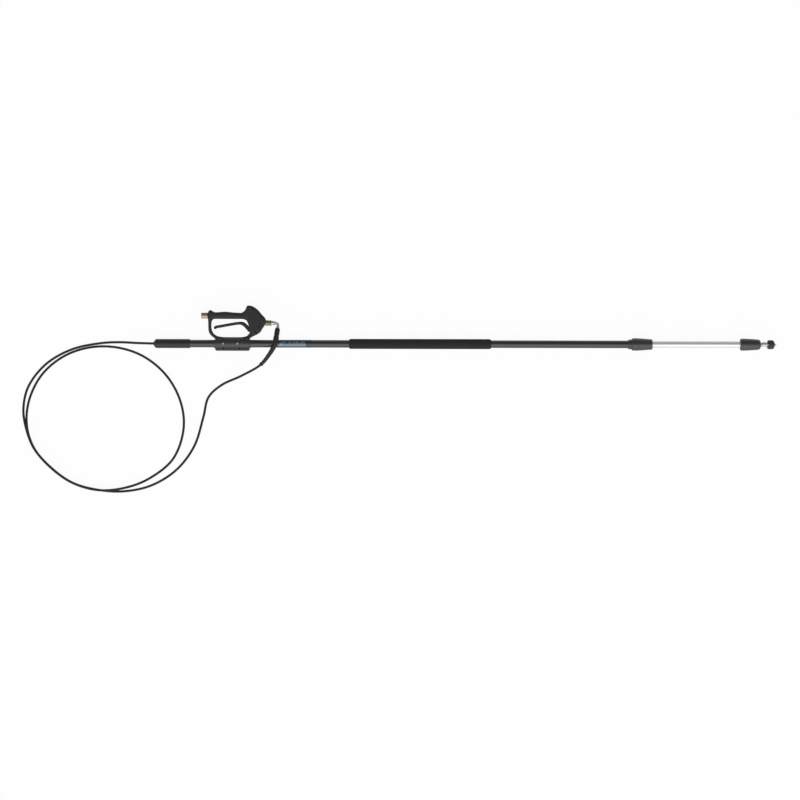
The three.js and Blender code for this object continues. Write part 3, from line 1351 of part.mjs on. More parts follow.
function gun() {
  const group = new THREE.Group();
  const smallRing = (axis, start, length, diameter, bore) =>
    ring(axis, start, start + length, diameter / 2, bore / 2, SMALL_SIDES);
  const tubeLength = inletTubeEnd - inletTubeStart;
  const inletTube = smallRing("x", inletTubeStart, tubeLength, INLET_TUBE_DIAMETER, INLET_TUBE_BORE);
  const seat = smallRing("y", seatY, SEAT_THICKNESS, VALVE_CHAMBER - 2 * FIT, SEAT_BORE);
  const sealDiameter = 2 * (glandRadius - FIT);
  const seal = smallRing("y", sealStart, SEAL_THICKNESS, sealDiameter, ROD_DIAMETER + 2 * FIT);
  const ball = new THREE.IcosahedronGeometry(ballRadius, 2);
  const pivotPin = bar("z", -pivotPinHalf, pivotPinHalf, PIVOT_PIN_DIAMETER / 2);
  const latchPinHalf = TRIGGER_WIDTH / 2 - LATCH_PIN_INSET;
  const latchPin = bar("z", -latchPinHalf, latchPinHalf, LATCH_PIN_DIAMETER / 2);
  const onValve = (made) => made.translateX(valveX);
  group.add(
    ...gunShells(),
    piece("inlet_fitting", inletFitting(), brass),
    piece("inlet_tube", inletTube.translate(0, inletY, 0), steel),
    piece("valve_body", valveBody(), brass),
    onValve(piece("valve_seat", seat, glideAcetal)),
    onValve(piece("valve_ball", ball.translate(0, ballY, 0), steel)),
    onValve(piece("valve_spring", valveSpring(), steel)),
    onValve(piece("valve_cap", valveCap(), brass)),
    onValve(piece("rod_gland", rodGland(), brass)),
    onValve(piece("gland_seal", seal, sealRubber)),
    onValve(piece("push_rod", pushRod(), steel)),
    piece("outlet_fitting", outletFitting(), brass),
    piece("union_nut", unionNut(), nickel),
    piece("elbow", elbow(), nickel),
    piece("hose_ferrule", hoseFerrule(), nickel),
    piece("ferrule_cover", ferruleCover(), sealRubber),
    piece("trigger", trigger(), gunNylon),
    piece("trigger_pin", pivotPin.translate(pivotX, pivotY, 0), blackSteel),
    piece("safety_latch", safetyLatch(), gunNylon),
    piece("latch_pin", latchPin.translate(latchPinX, latchPinY, 0), steel),
  );
  for (const [place, [x, y, face]] of Object.entries(housingScrews)) {
    const screw = piece(`gun_screw_${place}`, housingScrew(face), blackSteel);
    screw.position.set(x, y, 0);
    group.add(screw);
  }
  group.add(clamp());
  return group;
}

// ---------------------------------------------------------------- hose

const gunOrigin = new THREE.Vector3(BRACKET_START, 0, axisHeight);
const mouth = ferruleEnd.clone().add(gunOrigin);
const straightEnd = mouth.clone().addScaledVector(hoseAway, BEND_GUARD_STRAIGHT);
const route = new THREE.CatmullRomCurve3(
  [mouth, straightEnd, ...HOSE_ROUTE.map((point) => new THREE.Vector3(...point))],
  false,
  "centripetal",
);
route.arcLengthDivisions = ROUTE_DIVISIONS;

// The part of the route between two distances from the ferrule.
class Stretch extends THREE.Curve {
  constructor(start, end) {
    super();
    this.start = start / route.getLength();
    this.end = end / route.getLength();
  }

  getPoint(t, target = new THREE.Vector3()) {
    return route.getPointAt(this.start + (this.end - this.start) * t, target);
  }
}

// A turned piece whose own x axis is bent to follow the route.
function bentAlongRoute(geometry) {
  const place = geometry.attributes.position;
  for (let i = 0; i < place.count; i++) {
    const share = place.getX(i) / route.getLength();
    const forward = route.getTangentAt(share);
    const side = new THREE.Vector3(0, 0, 1).cross(forward).normalize();
    const top = forward.clone().cross(side);
    const point = route.getPointAt(share);
    point.addScaledVector(side, place.getY(i)).addScaledVector(top, place.getZ(i));
    place.setXYZ(i, point.x, point.y, point.z);
  }
  return geometry;
}

// The rubber sleeve that keeps the hose from kinking where it leaves the gun, tapered to its end.
function bendGuard() {
  const [radius, endRadius] = [BEND_GUARD_DIAMETER / 2, BEND_GUARD_END_DIAMETER / 2];
  const profile = Array.from({ length: BEND_GUARD_STEPS + 1 }, (_, i) => {
    const share = i / BEND_GUARD_STEPS;
    return [FIT + (BEND_GUARD_LENGTH - FIT) * share, radius + (endRadius - radius) * share];
  });
  return bentAlongRoute(turned("x", [[FIT, 0], ...profile, [BEND_GUARD_LENGTH, 0]], SMALL_SIDES));
}

function hose() {
  const group = new THREE.Group();
  const loopEnd = route.getLength() - FIT / 2;
  const free = new Stretch(BEND_GUARD_LENGTH + FIT, loopEnd);
  const loop = sweep(disc(hoseRadius, HOSE_SIDES), free, HOSE_STEPS);
  const inside = bar("x", FIT / 2, stemStart + HOSE_SOCKET_DEPTH - FIT, hoseRadius);
  group.add(
    piece("bend_guard", bendGuard(), sealRubber),
    piece("hose_loop", loop, hoseRubber),
    piece("hose_in_pole", inside.translate(0, 0, axisHeight), hoseRubber),
  );
  return group;
}

// ---------------------------------------------------------------- the whole lance

const pole = outerPole();
pole.add(innerPole());
pole.position.z = axisHeight;
const triggerGun = gun();
triggerGun.position.copy(gunOrigin);

// The origin lies on the floor, under the middle of the rigid pieces.
const rigid = new THREE.Group();
rigid.add(pole, triggerGun);
rigid.updateMatrixWorld(true);
const middle = new THREE.Box3().setFromObject(rigid, true).getCenter(new THREE.Vector3());

const group = new THREE.Group();
group.add(rigid, hose());
group.position.set(-middle.x, -middle.y, 0);

export default group;
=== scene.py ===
# The looks of a telescopic pressure-cleaning lance that lies on a white studio floor: two tubes with
# grips and twist locks, a trigger gun clamped beside them, and the hose that joins the gun to the tip.
# +X runs along the pole to the nozzle, +Y points to the gun and +Z points up. Values are millimetres
# unless MM or a comment says otherwise.
import math

import bmesh
import bpy
import numpy as np
from mathutils import Matrix, Vector


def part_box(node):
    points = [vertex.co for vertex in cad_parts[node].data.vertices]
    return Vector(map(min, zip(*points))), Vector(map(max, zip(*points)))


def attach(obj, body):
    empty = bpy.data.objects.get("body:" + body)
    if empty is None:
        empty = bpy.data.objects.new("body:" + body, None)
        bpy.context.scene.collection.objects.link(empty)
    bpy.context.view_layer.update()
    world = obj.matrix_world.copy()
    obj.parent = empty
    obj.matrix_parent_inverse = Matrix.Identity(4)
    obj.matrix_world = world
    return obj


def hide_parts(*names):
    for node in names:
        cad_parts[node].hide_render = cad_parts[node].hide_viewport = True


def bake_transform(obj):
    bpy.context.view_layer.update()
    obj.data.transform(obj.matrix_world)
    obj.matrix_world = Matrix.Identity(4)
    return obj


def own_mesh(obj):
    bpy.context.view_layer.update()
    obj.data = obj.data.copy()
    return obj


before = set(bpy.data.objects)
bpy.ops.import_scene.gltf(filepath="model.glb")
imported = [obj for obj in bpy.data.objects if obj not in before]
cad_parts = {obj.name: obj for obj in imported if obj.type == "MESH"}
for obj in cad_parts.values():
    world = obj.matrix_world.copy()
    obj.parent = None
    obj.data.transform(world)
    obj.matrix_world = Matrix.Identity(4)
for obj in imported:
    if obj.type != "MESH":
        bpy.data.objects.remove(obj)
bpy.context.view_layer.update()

# ---------------------------------------------------------------- camera
# A long lens straight above the middle of the picture, so that the pole's tubes show no taper. The
# photograph turns the pole by a tenth of a degree, and the camera is rolled by that.

MM = 0.001  # metres
METRES_PER_PIXEL = 3.73 * MM
PICTURE_MIDDLE_PX = 400
BUTT_FACE_PX = 153.5  # column of the butt's end face
AXIS_PX = 343.5  # row of the pole's axis at the butt
ROLL = 0.00197  # rows that the axis falls in one column
LENS_MM = 135
SENSOR_MM = 36
CLIP_END = 100  # metres


def new_object(name, data):
    """An object of that name and data, in the scene."""
    made = bpy.data.objects.new(name, data)
    bpy.context.scene.collection.objects.link(made)
    return made


butt_low, butt_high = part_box("butt_grip")
BUTT_X = butt_low.x
AXIS_Y = (butt_low.y + butt_high.y) / 2
AXIS_Z = (butt_low.z + butt_high.z) / 2

columns = PICTURE_MIDDLE_PX - BUTT_FACE_PX
rows = AXIS_PX + ROLL * columns - PICTURE_MIDDLE_PX
aim = Vector((BUTT_X + columns * METRES_PER_PIXEL, AXIS_Y + rows * METRES_PER_PIXEL, AXIS_Z))
half_width = PICTURE_MIDDLE_PX * METRES_PER_PIXEL
camera_data = bpy.data.cameras.new("camera")
camera_data.lens = LENS_MM
camera_data.sensor_width = SENSOR_MM
camera_data.clip_end = CLIP_END
camera = new_object("camera", camera_data)
camera.location = aim + Vector((0, 0, half_width * LENS_MM / (SENSOR_MM / 2)))
camera.rotation_euler = (0, 0, ROLL)
bpy.context.scene.camera = camera
bpy.context.scene.view_settings.view_transform = "Standard"

# ---------------------------------------------------------------- hose
# A wire-braided rubber hose, 9 mm across, crimped to the gun's elbow. It crosses over the pole, lies
# on the floor in one and a third loose turns and runs into the butt, where it can't be seen any more.

HOSE_DIAMETER = 9 * MM
HOSE_SIDES = 24
HOSE_STEP = 5 * MM
FERRULE_LENGTH = 30 * MM
FERRULE_LEAN = math.radians(8)  # back towards the butt
FERRULE_RISE = math.radians(20)  # up from the floor's plane
STRAIGHT_START = 12 * MM
HOSE_BLACK = "121212"
HOSE_DUST = 1.8  # how much lighter the dusty patches are
DUST_PATCH = 60 * MM
HOSE_ROUGHNESS = 0.5
HOSE_SHEEN = 0.3  # specular level: dusty rubber reflects less than its index says
WRAP_SPACING = 3 * MM  # marks of the wrapping tape; real ones are finer and wouldn't show
WRAP_RELIEF = 0.1 * MM
WRAP_STRENGTH = 0.12

# Metres from the butt's face, from the pole's axis and above the floor, as the route is laid.
HOSE_ROUTE = [
    (0.451, -0.008, 0.05), (0.431, -0.042, 0.0455), (0.399, -0.079, 0.0315), (0.328, -0.1195, 0.017),
    (0.252, -0.155, 0.007), (0.204, -0.2, 0.005), (0.185, -0.274, 0.005), (0.1505, -0.384, 0.005),
    (0.084, -0.472, 0.005), (-0.008, -0.5295, 0.005), (-0.105, -0.5515, 0.005), (-0.2, -0.548, 0.005),
    (-0.302, -0.521, 0.005), (-0.386, -0.462, 0.005), (-0.448, -0.39, 0.005), (-0.4745, -0.306, 0.005),
    (-0.466, -0.212, 0.005), (-0.417, -0.115, 0.005), (-0.332, -0.0455, 0.005), (-0.232, -0.0137, 0.005),
    (-0.13, -0.0162, 0.005), (-0.034, -0.051, 0.005), (0.049, -0.1225, 0.005), (0.1, -0.2185, 0.005),
    (0.111, -0.318, 0.005), (0.073, -0.429, 0.005), (-0.01, -0.5, 0.0056), (-0.094, -0.5355, 0.012),
    (-0.2, -0.548, 0.015), (-0.302, -0.521, 0.015), (-0.386, -0.462, 0.015), (-0.448, -0.39, 0.015),
    (-0.479, -0.306, 0.0148), (-0.487, -0.24, 0.0075), (-0.469, -0.1615, 0.005), (-0.404, -0.078, 0.005),
    (-0.3075, -0.0225, 0.0055), (-0.197, 0.0013, 0.0065), (-0.125, 0.0047, 0.01), (-0.062, 0.0018, 0.0192),
    (0, 0, 0.0233),
]


def linear(hex_colour):
    """An sRGB hex colour as linear RGBA."""
    channels = [int(hex_colour[i : i + 2], 16) / 255 for i in (0, 2, 4)]
    return [c / 12.92 if c <= 0.04045 else ((c + 0.055) / 1.055) ** 2.4 for c in channels] + [1]


def add(tree, kind, inputs=(), **settings):
    """Adds a node of a kind, with its settings, and its inputs as values or as sockets to link from."""
    made = tree.nodes.new(kind)
    for name, value in settings.items():
        setattr(made, name, value)
    for key, value in dict(inputs).items():
        if isinstance(value, bpy.types.NodeSocket):
            tree.links.new(value, made.inputs[key])
        else:
            made.inputs[key].default_value = value
    return made


def new_material(name, surface):
    """A material by that name, with its even surface values, its tree, its shader and coordinates."""
    material = bpy.data.materials.new(name)
    material.use_nodes = True
    tree = material.node_tree
    shader = tree.nodes["Principled BSDF"]
    for key, value in surface.items():
        shader.inputs[key].default_value = value
    place = add(tree, "ShaderNodeTexCoord").outputs["Object"]
    return material, tree, shader, place


def drive(tree, shader, **links):
    """Links sockets to the surface shader's inputs, by the inputs' names in lower case."""
    for name, socket in links.items():
        tree.links.new(socket, shader.inputs[name.replace("_", " ").title()])


def mottle(tree, vector, spacing, low, high, detail=2):
    """A soft random pattern of a real spacing, as a colour between two."""
    noise = add(tree, "ShaderNodeTexNoise", {"Vector": vector, "Scale": 1 / spacing, "Detail": detail})
    mix = add(tree, "ShaderNodeMix", {0: noise.outputs["Fac"], 6: low, 7: high}, data_type="RGBA")
    return mix.outputs[2]


def smooth_line(points, step):
    """Points a step apart on the centripetal Catmull-Rom curve through a few chosen points."""
    points = np.array(points, float)
    ends = [2 * points[0] - points[1], *points, 2 * points[-1] - points[-2]]
    line = []
    for p0, p1, p2, p3 in zip(ends, ends[1:], ends[2:], ends[3:]):
        t1 = np.linalg.norm(p1 - p0) ** 0.5
        t2 = t1 + np.linalg.norm(p2 - p1) ** 0.5
        t3 = t2 + np.linalg.norm(p3 - p2) ** 0.5
        count = max(2, math.ceil(np.linalg.norm(p2 - p1) / (step / 4)))
        t = np.linspace(t1, t2, count, endpoint=False)[:, None]
        a1 = (t1 - t) / t1 * p0 + t / t1 * p1
        a2 = (t2 - t) / (t2 - t1) * p1 + (t - t1) / (t2 - t1) * p2
        a3 = (t3 - t) / (t3 - t2) * p2 + (t - t2) / (t3 - t2) * p3
        b1 = (t2 - t) / t2 * a1 + t / t2 * a2
        b2 = (t3 - t) / (t3 - t1) * a2 + (t - t1) / (t3 - t1) * a3
        line.extend((t2 - t) / (t2 - t1) * b1 + (t - t1) / (t2 - t1) * b2)
    line = np.array([*line, points[-1]])
    along = np.concatenate([[0], np.cumsum(np.linalg.norm(np.diff(line, axis=0), axis=1))])
    places = np.linspace(0, along[-1], max(2, round(along[-1] / step)) + 1)
    return np.stack([np.interp(places, along, line[:, k]) for k in range(line.shape[1])], axis=1)


def plain_mesh(source):
    """The mesh that an object's modifiers, or its curve's own settings, make of it."""
    graph = bpy.context.evaluated_depsgraph_get()
    return bpy.data.meshes.new_from_object(source.evaluated_get(graph))


def new_tree(name, inputs):
    """An empty Geometry Nodes tree, and the sockets of its named inputs."""
    tree = bpy.data.node_groups.new(name, "GeometryNodeTree")
    for label, kind in inputs.items():
        tree.interface.new_socket(label, in_out="INPUT", socket_type=f"NodeSocket{kind}")
    tree.interface.new_socket("Result", in_out="OUTPUT", socket_type="NodeSocketGeometry")
    return tree, add(tree, "NodeGroupInput").outputs


def end_tree(tree, geometry, finish):
    """Ends a tree: its instances are made real and get their material."""
    real = add(tree, "GeometryNodeRealizeInstances", {"Geometry": geometry}).outputs[0]
    covered = add(tree, "GeometryNodeSetMaterial", {"Geometry": real, "Material": finish}).outputs[0]
    add(tree, "NodeGroupOutput", {"Result": covered})


def grow(name, source, tree, values):
    """The plain mesh that a Geometry Nodes tree makes from a source object, which is then deleted."""
    modifier = source.modifiers.new("grow", "NODES")
    modifier.node_group = tree
    sockets = {item.name: item.identifier for item in tree.interface.items_tree}
    for label, value in values.items():
        modifier[sockets[label]] = value
    mesh = plain_mesh(source)
    bpy.data.objects.remove(source)
    return new_object(name, mesh)


def tube_tree():
    """A tree that lays a round tube of one radius along a curve, closed at both ends."""
    tree, given = new_tree("tube_along_line", {
        "Line": "Geometry", "Radius": "Float", "Sides": "Int", "Cover": "Material"})
    along = add(tree, "GeometryNodeSplineParameter").outputs["Length"]
    line = add(tree, "GeometryNodeStoreNamedAttribute",
               {"Geometry": given["Line"], "Name": "along", "Value": along}).outputs[0]
    ring = add(tree, "GeometryNodeCurvePrimitiveCircle",
               {"Resolution": given["Sides"], "Radius": given["Radius"]}).outputs[0]
    tube = add(tree, "GeometryNodeCurveToMesh",
               {"Curve": line, "Profile Curve": ring, "Fill Caps": True}).outputs[0]
    end_tree(tree, tube, given["Cover"])
    return tree


def line_object(name, points):
    """A curve object with one open spline through the points."""
    data = bpy.data.curves.new(name, "CURVE")
    data.dimensions = "3D"
    data.twist_mode = "MINIMUM"
    spline = data.splines.new("POLY")
    spline.points.add(len(points) - 1)
    spline.points.foreach_set("co", np.c_[points, np.ones(len(points))].ravel())
    return new_object(name, data)


def finish_piece(piece, finish, body, slot, *nodes, angle=40):
    """Covers a piece, shades it smooth up to an edge angle, and says what it rides on and stands for."""
    piece.data.materials.clear()
    piece.data.materials.append(finish)
    piece.data.shade_smooth()
    piece.data.set_sharp_from_angle(angle=math.radians(angle))
    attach(piece, body)
    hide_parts(*nodes)


def hose_cover():
    """Extruded and wrapped nitrile rubber: black, half matt, with faint marks of the wrapping tape."""
    material, tree, shader, place = new_material("wrapped_nitrile_rubber", {
        "Roughness": HOSE_ROUGHNESS, "Specular IOR Level": HOSE_SHEEN})
    black = linear(HOSE_BLACK)
    dusty = [*(HOSE_DUST * c for c in black[:3]), 1]
    drive(tree, shader, base_color=mottle(tree, place, DUST_PATCH, black, dusty))
    along = add(tree, "ShaderNodeAttribute", attribute_name="along").outputs["Fac"]
    turns = add(tree, "ShaderNodeMath", {0: along, 1: 2 * math.pi / WRAP_SPACING}, operation="MULTIPLY")
    wave = add(tree, "ShaderNodeMath", {0: turns.outputs[0]}, operation="SINE").outputs[0]
    bump = add(tree, "ShaderNodeBump",
               {"Height": wave, "Strength": WRAP_STRENGTH, "Distance": WRAP_RELIEF})
    drive(tree, shader, normal=bump.outputs[0])
    return material


ferrule_low, ferrule_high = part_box("hose_ferrule")
hose_away = Vector((
    -math.sin(FERRULE_LEAN) * math.cos(FERRULE_RISE),
    -math.cos(FERRULE_LEAN) * math.cos(FERRULE_RISE),
    math.sin(FERRULE_RISE),
))
hose_mouth = (ferrule_low + ferrule_high) / 2 + hose_away * FERRULE_LENGTH / 2
straight_end = hose_mouth + hose_away * STRAIGHT_START
butt_origin = Vector((BUTT_X, AXIS_Y, 0))
chosen = [hose_mouth, straight_end, *(butt_origin + Vector(point) for point in HOSE_ROUTE)]
hose_line = smooth_line(chosen, HOSE_STEP)
hose_length = float(np.linalg.norm(np.diff(hose_line, axis=0), axis=1).sum())
rubber_cover = hose_cover()
hose_section = {"Radius": HOSE_DIAMETER / 2, "Sides": HOSE_SIDES, "Cover": rubber_cover}
tube_maker = tube_tree()
free_hose = grow("free_hose", line_object("hose_line", hose_line), tube_maker, hose_section)
finish_piece(free_hose, rubber_cover, "pole", "hose_rubber", "hose_loop")

# ---------------------------------------------------------------- rubber sleeve on the hose
# A moulded rubber sleeve, 130 mm long, that keeps the hose from kinking where it leaves the gun. It is
# pushed over the hose up to the crimped ferrule, and ends in a thin rolled rim.

SLEEVE_LENGTH = 130
SLEEVE_SIDE_LENGTH = 124
SLEEVE_PLACES = (0, 0.07, 0.2, 0.36, 0.6, 1)  # shares of the side's length, and the radius at each
SLEEVE_RADII = (9.4, 10.5, 10.3, 9.1, 7.9, 6.7)
SLEEVE_RIM = 0.9  # how far the rim stands out
SLEEVE_RIM_LENGTH = 4.5
SLEEVE_BORE = 4.8
SLEEVE_BORE_START = 0.01  # share of the length
SLEEVE_RINGS = 60
GAP = 0.3  # between pieces that seat on each other
ARC_STEPS = 6
TURNED_SIDES = 96
MERGE_DISTANCE = 0.001 * MM


def rounded(corners):
    """A closed outline whose corners are arcs: each corner is two coordinates and, if round, a size."""
    line = []
    for i, (x, y, *size) in enumerate(corners):
        here = np.array((x, y), float)
        if not size:
            line.append(here)
            continue
        before = np.array(corners[i - 1][:2], float) - here
        after = np.array(corners[(i + 1) % len(corners)][:2], float) - here
        start = here + before / np.linalg.norm(before) * size[0]
        end = here + after / np.linalg.norm(after) * size[0]
        for t in np.linspace(0, 1, ARC_STEPS + 1):
            line.append((1 - t) ** 2 * start + 2 * t * (1 - t) * here + t * t * end)
    return np.array(line)


def closed(name, mesh):
    """An object from a closed mesh, its doubles merged and its faces turned outwards."""
    shape = bmesh.new()
    shape.from_mesh(mesh)
    bmesh.ops.remove_doubles(shape, verts=shape.verts, dist=MERGE_DISTANCE)
    bmesh.ops.recalc_face_normals(shape, faces=shape.faces)
    if shape.calc_volume(signed=True) < 0:
        bmesh.ops.reverse_faces(shape, faces=shape.faces)
    shape.to_mesh(mesh)
    shape.free()
    return new_object(name, mesh)


def turned(name, corners, place, sides=TURNED_SIDES):
    """A turned piece: a closed profile of (along, radius), run round the local X axis."""
    profile = rounded(corners) * MM
    angles = np.linspace(0, 2 * math.pi, sides, endpoint=False)
    along = np.repeat(profile[:, :1], sides, axis=1)
    rings = np.stack([along, profile[:, 1:] * np.cos(angles), profile[:, 1:] * np.sin(angles)], axis=2)
    count = len(profile)
    here = np.arange(count)[:, None] * sides
    there = np.roll(here, -1, axis=0)
    turn = np.arange(sides)[None, :]
    onward = (turn + 1) % sides
    faces = np.stack([here + turn, here + onward, there + onward, there + turn], axis=2)
    mesh = bpy.data.meshes.new(name)
    mesh.from_pydata(rings.reshape(-1, 3), [], faces.reshape(-1, 4).tolist())
    mesh.transform(place)
    return closed(name, mesh)


def clouded(name, colours, surface, cloud, grit, relief, cloud_detail=2, grit_detail=2):
    """A material clouded between two colours, with a random relief; cloud and grit are real spacings."""
    material, tree, shader, place = new_material(name, surface)
    low, high = (linear(colour) for colour in colours)
    drive(tree, shader, base_color=mottle(tree, place, cloud * MM, low, high, cloud_detail))
    noise = add(tree, "ShaderNodeTexNoise",
                {"Vector": place, "Scale": 1 / (grit * MM), "Detail": grit_detail}).outputs["Fac"]
    bump = add(tree, "ShaderNodeBump", {"Height": noise, "Distance": relief * MM})
    drive(tree, shader, normal=bump.outputs[0])
    return material


def along_hose(points):
    """Points of a straight piece, its X axis laid along the hose's line from the ferrule."""
    places = np.linspace(0, hose_length, len(hose_line))
    forward = np.gradient(hose_line, axis=0)
    forward /= np.linalg.norm(forward, axis=1)[:, None]
    line, ahead = (
        np.stack([np.interp(points[:, 0], places, table[:, k]) for k in range(3)], axis=1)
        for table in (hose_line, forward)
    )
    side = np.cross((0, 0, 1), ahead)
    side /= np.linalg.norm(side, axis=1)[:, None]
    return line + side * points[:, 1:2] + np.cross(ahead, side) * points[:, 2:]


# Compression-moulded rubber: deep black and matt, with a fine grain from the blasted mould.
black_rubber = clouded("moulded_rubber", ("0c0c0d", "141415"), {"Roughness": 0.62},
                       cloud=25, grit=1.2, relief=0.05)
sleeve_side = [
    (GAP + SLEEVE_SIDE_LENGTH * t, np.interp(t, SLEEVE_PLACES, SLEEVE_RADII))
    for t in np.linspace(0, 1, SLEEVE_RINGS)
]
rim_radius = SLEEVE_RADII[-1] + SLEEVE_RIM
sleeve = turned("hose_sleeve", [
    (GAP, SLEEVE_BORE),
    *sleeve_side,
    (SLEEVE_LENGTH - SLEEVE_RIM_LENGTH, rim_radius, 1),
    (SLEEVE_LENGTH, rim_radius, 1),
    *((SLEEVE_LENGTH * t, SLEEVE_BORE) for t in np.linspace(1, SLEEVE_BORE_START, SLEEVE_RINGS)),
], Matrix())
straight = np.array([vertex.co for vertex in sleeve.data.vertices])
sleeve.data.vertices.foreach_set("co", along_hose(straight).ravel())
finish_piece(sleeve, black_rubber, "pole", "seal_rubber", "bend_guard")

# ---------------------------------------------------------------- outer tube
# A pultruded tube of glass fibre in black resin, 28.6 mm across and 1.79 m long. It is the lance's main
# member: the grips are pushed over it, and the lock body is bonded on its front end.

POLE = Matrix.Translation((BUTT_X, AXIS_Y, AXIS_Z))
TUBE_WALL = 1.4
TUBE_EDGE = 0.3  # rounding of the sawn ends


def extent(node):
    """Where a CAD node starts and ends, from the butt's face, and its radius."""
    low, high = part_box(node)
    return (low.x - BUTT_X) / MM, (high.x - BUTT_X) / MM, (high.z - low.z) / 2 / MM


def streaked(name, colours, surface, streak, roughness, relief, strength):
    """A material with streaks of a real length and width along the pole, in colour, gloss and relief."""
    material, tree, shader, place = new_material(name, surface)
    length, width = streak
    scale = [1 / (size * MM) for size in (length, width, width)]
    streaks = add(tree, "ShaderNodeMapping", {"Vector": place, "Scale": scale}).outputs[0]
    low, high = (linear(colour) for colour in colours)
    drive(tree, shader, base_color=mottle(tree, streaks, 1, low, high))
    noise = add(tree, "ShaderNodeTexNoise", {"Vector": streaks, "Scale": 1, "Detail": 3}).outputs["Fac"]
    smooth, rough = roughness
    gloss = add(tree, "ShaderNodeMapRange", {"Value": noise, "To Min": smooth, "To Max": rough})
    bump = add(tree, "ShaderNodeBump", {"Height": noise, "Strength": strength, "Distance": relief * MM})
    drive(tree, shader, roughness=gloss.outputs[0], normal=bump.outputs[0])
    return material


# Pultruded glass fibre in black polyester: a glossy resin skin, faintly streaked along the pull.
glass_fibre = streaked("pultruded_glass_fibre", ("070708", "0e0e10"), {"IOR": 1.7},
                       streak=(120, 1.5), roughness=(0.22, 0.34), relief=0.02, strength=1)
tube_start, tube_end, tube_radius = extent("outer_tube")
tube_bore = tube_radius - TUBE_WALL
fibreglass_tube = turned("fibreglass_tube", [
    (tube_start, tube_bore),
    (tube_start, tube_radius, TUBE_EDGE),
    (tube_end, tube_radius, TUBE_EDGE),
    (tube_end, tube_bore),
], POLE)
finish_piece(fibreglass_tube, glass_fibre, "pole", "outer_tube", "outer_tube")

# ---------------------------------------------------------------- butt grip
# A thick rubber grip pushed over the tube's rear end. Its closed end is a cone with a hole for the hose,
# and its front end stands a little open round the tube.

BUTT_MOUTH_RADIUS = 6.3
BUTT_CONE_LENGTH = 8
BUTT_END_WALL = 8
HOSE_HOLE = 4.8
BUTT_LIP = 1.4
BUTT_LIP_DEPTH = 4

# Moulded grip rubber: dark grey, matt to satin, with a fine even grain.
grip_rubber = clouded("moulded_grip_rubber", ("101011", "171718"), {"Roughness": 0.5},
                      cloud=40, grit=1.5, relief=0.06)
grip_start, grip_end, grip_radius = extent("butt_grip")
tube_seat = tube_radius + GAP
rubber_butt_grip = turned("rubber_butt_grip", [
    (grip_start, HOSE_HOLE, 0.8),
    (grip_start, BUTT_MOUTH_RADIUS, 1),
    (grip_start + BUTT_CONE_LENGTH, grip_radius, 3.5),
    (grip_end, grip_radius, 1.8),
    (grip_end, tube_seat + BUTT_LIP, 0.3),
    (grip_end - BUTT_LIP_DEPTH, tube_seat),
    (grip_start + BUTT_END_WALL, tube_seat),
    (grip_start + BUTT_END_WALL, HOSE_HOLE),
], POLE)
finish_piece(rubber_butt_grip, grip_rubber, "pole", "grip_rubber", "butt_grip")

# ---------------------------------------------------------------- middle grip
# A sleeve of closed-cell foam, 530 mm long, slid over the tube and held by its own stretch. Its ends are
# ground round.

FOAM_END_TAPER = 5
FOAM_END_DROP = 3
FOAM_CLOUD = 30 * MM
CELL_SIZE = 0.9 * MM  # the cut cells; real ones are half that and wouldn't show
CELL_RELIEF = 0.12 * MM
CELL_STRENGTH = 0.6


def grip_foam():
    """Closed-cell EVA foam, ground to size: dead matt, with cut cells."""
    material, tree, shader, place = new_material("ground_eva_foam", {
        "Roughness": 0.85, "Specular IOR Level": 0.3})
    drive(tree, shader, base_color=mottle(tree, place, FOAM_CLOUD, linear("1e1e1f"), linear("262627")))
    cells = add(tree, "ShaderNodeTexVoronoi", {"Vector": place, "Scale": 1 / CELL_SIZE}).outputs[0]
    bump = add(tree, "ShaderNodeBump",
               {"Height": cells, "Strength": CELL_STRENGTH, "Distance": CELL_RELIEF})
    drive(tree, shader, normal=bump.outputs[0])
    return material


foam_start, foam_end, foam_radius = extent("mid_grip")
foam_mid_grip = turned("foam_mid_grip", [
    (foam_start, tube_seat),
    (foam_start, foam_radius - FOAM_END_DROP, 1),
    (foam_start + FOAM_END_TAPER, foam_radius, 3),
    (foam_end - FOAM_END_TAPER, foam_radius, 3),
    (foam_end, foam_radius - FOAM_END_DROP, 1),
    (foam_end, tube_seat),
], POLE)
finish_piece(foam_mid_grip, grip_foam(), "pole", "grip_foam", "mid_grip")

# ---------------------------------------------------------------- label
# A vinyl film stuck round the tube in front of the gun. It is printed in navy, with pale areas and a
# speckled row on its upper side.

LABEL_NAVY = "0d1f2e"
ROW_PALE = "62757f"
ROW_SPECK = "172438"
SPECK_SIZE = 7 * MM
SPECK_LEVELS = (0.48, 0.56)  # of the noise, where the pale ink ends and the dark one is full
GLUE = 0.15

# Printed areas: along the pole from the label's rear edge, across the pole, softness and ink.
SPECKLED_ROW = ((2, 108), (-0.5, 8.5), 2.5)
PRINTED_AREAS = [
    ((2, 108), (-17, -7.5), 2, "46525a"),
    ((2, 108), (-9.5, 1), 2, "6e818c"),
    ((9.5, 20), (-8, 1), 1.5, "8b9aa3"),
    ((107, 150), (-17, 1), 2, "34383a"),
]
UPPER_SIDE = (0, 40, 1)  # heights over the axis that carry ink, and softness


def window(tree, value, low, high, soft):
    """One between two places and nought outside them, with soft edges."""
    low, high, soft = low * MM, high * MM, soft * MM
    rise = add(tree, "ShaderNodeMapRange", {"Value": value, "From Min": low, "From Max": low + soft})
    fall = add(tree, "ShaderNodeMapRange",
               {"Value": value, "From Min": high - soft, "From Max": high, "To Min": 1, "To Max": 0})
    both = add(tree, "ShaderNodeMath", {0: rise.outputs[0], 1: fall.outputs[0]}, operation="MULTIPLY")
    return both.outputs[0]


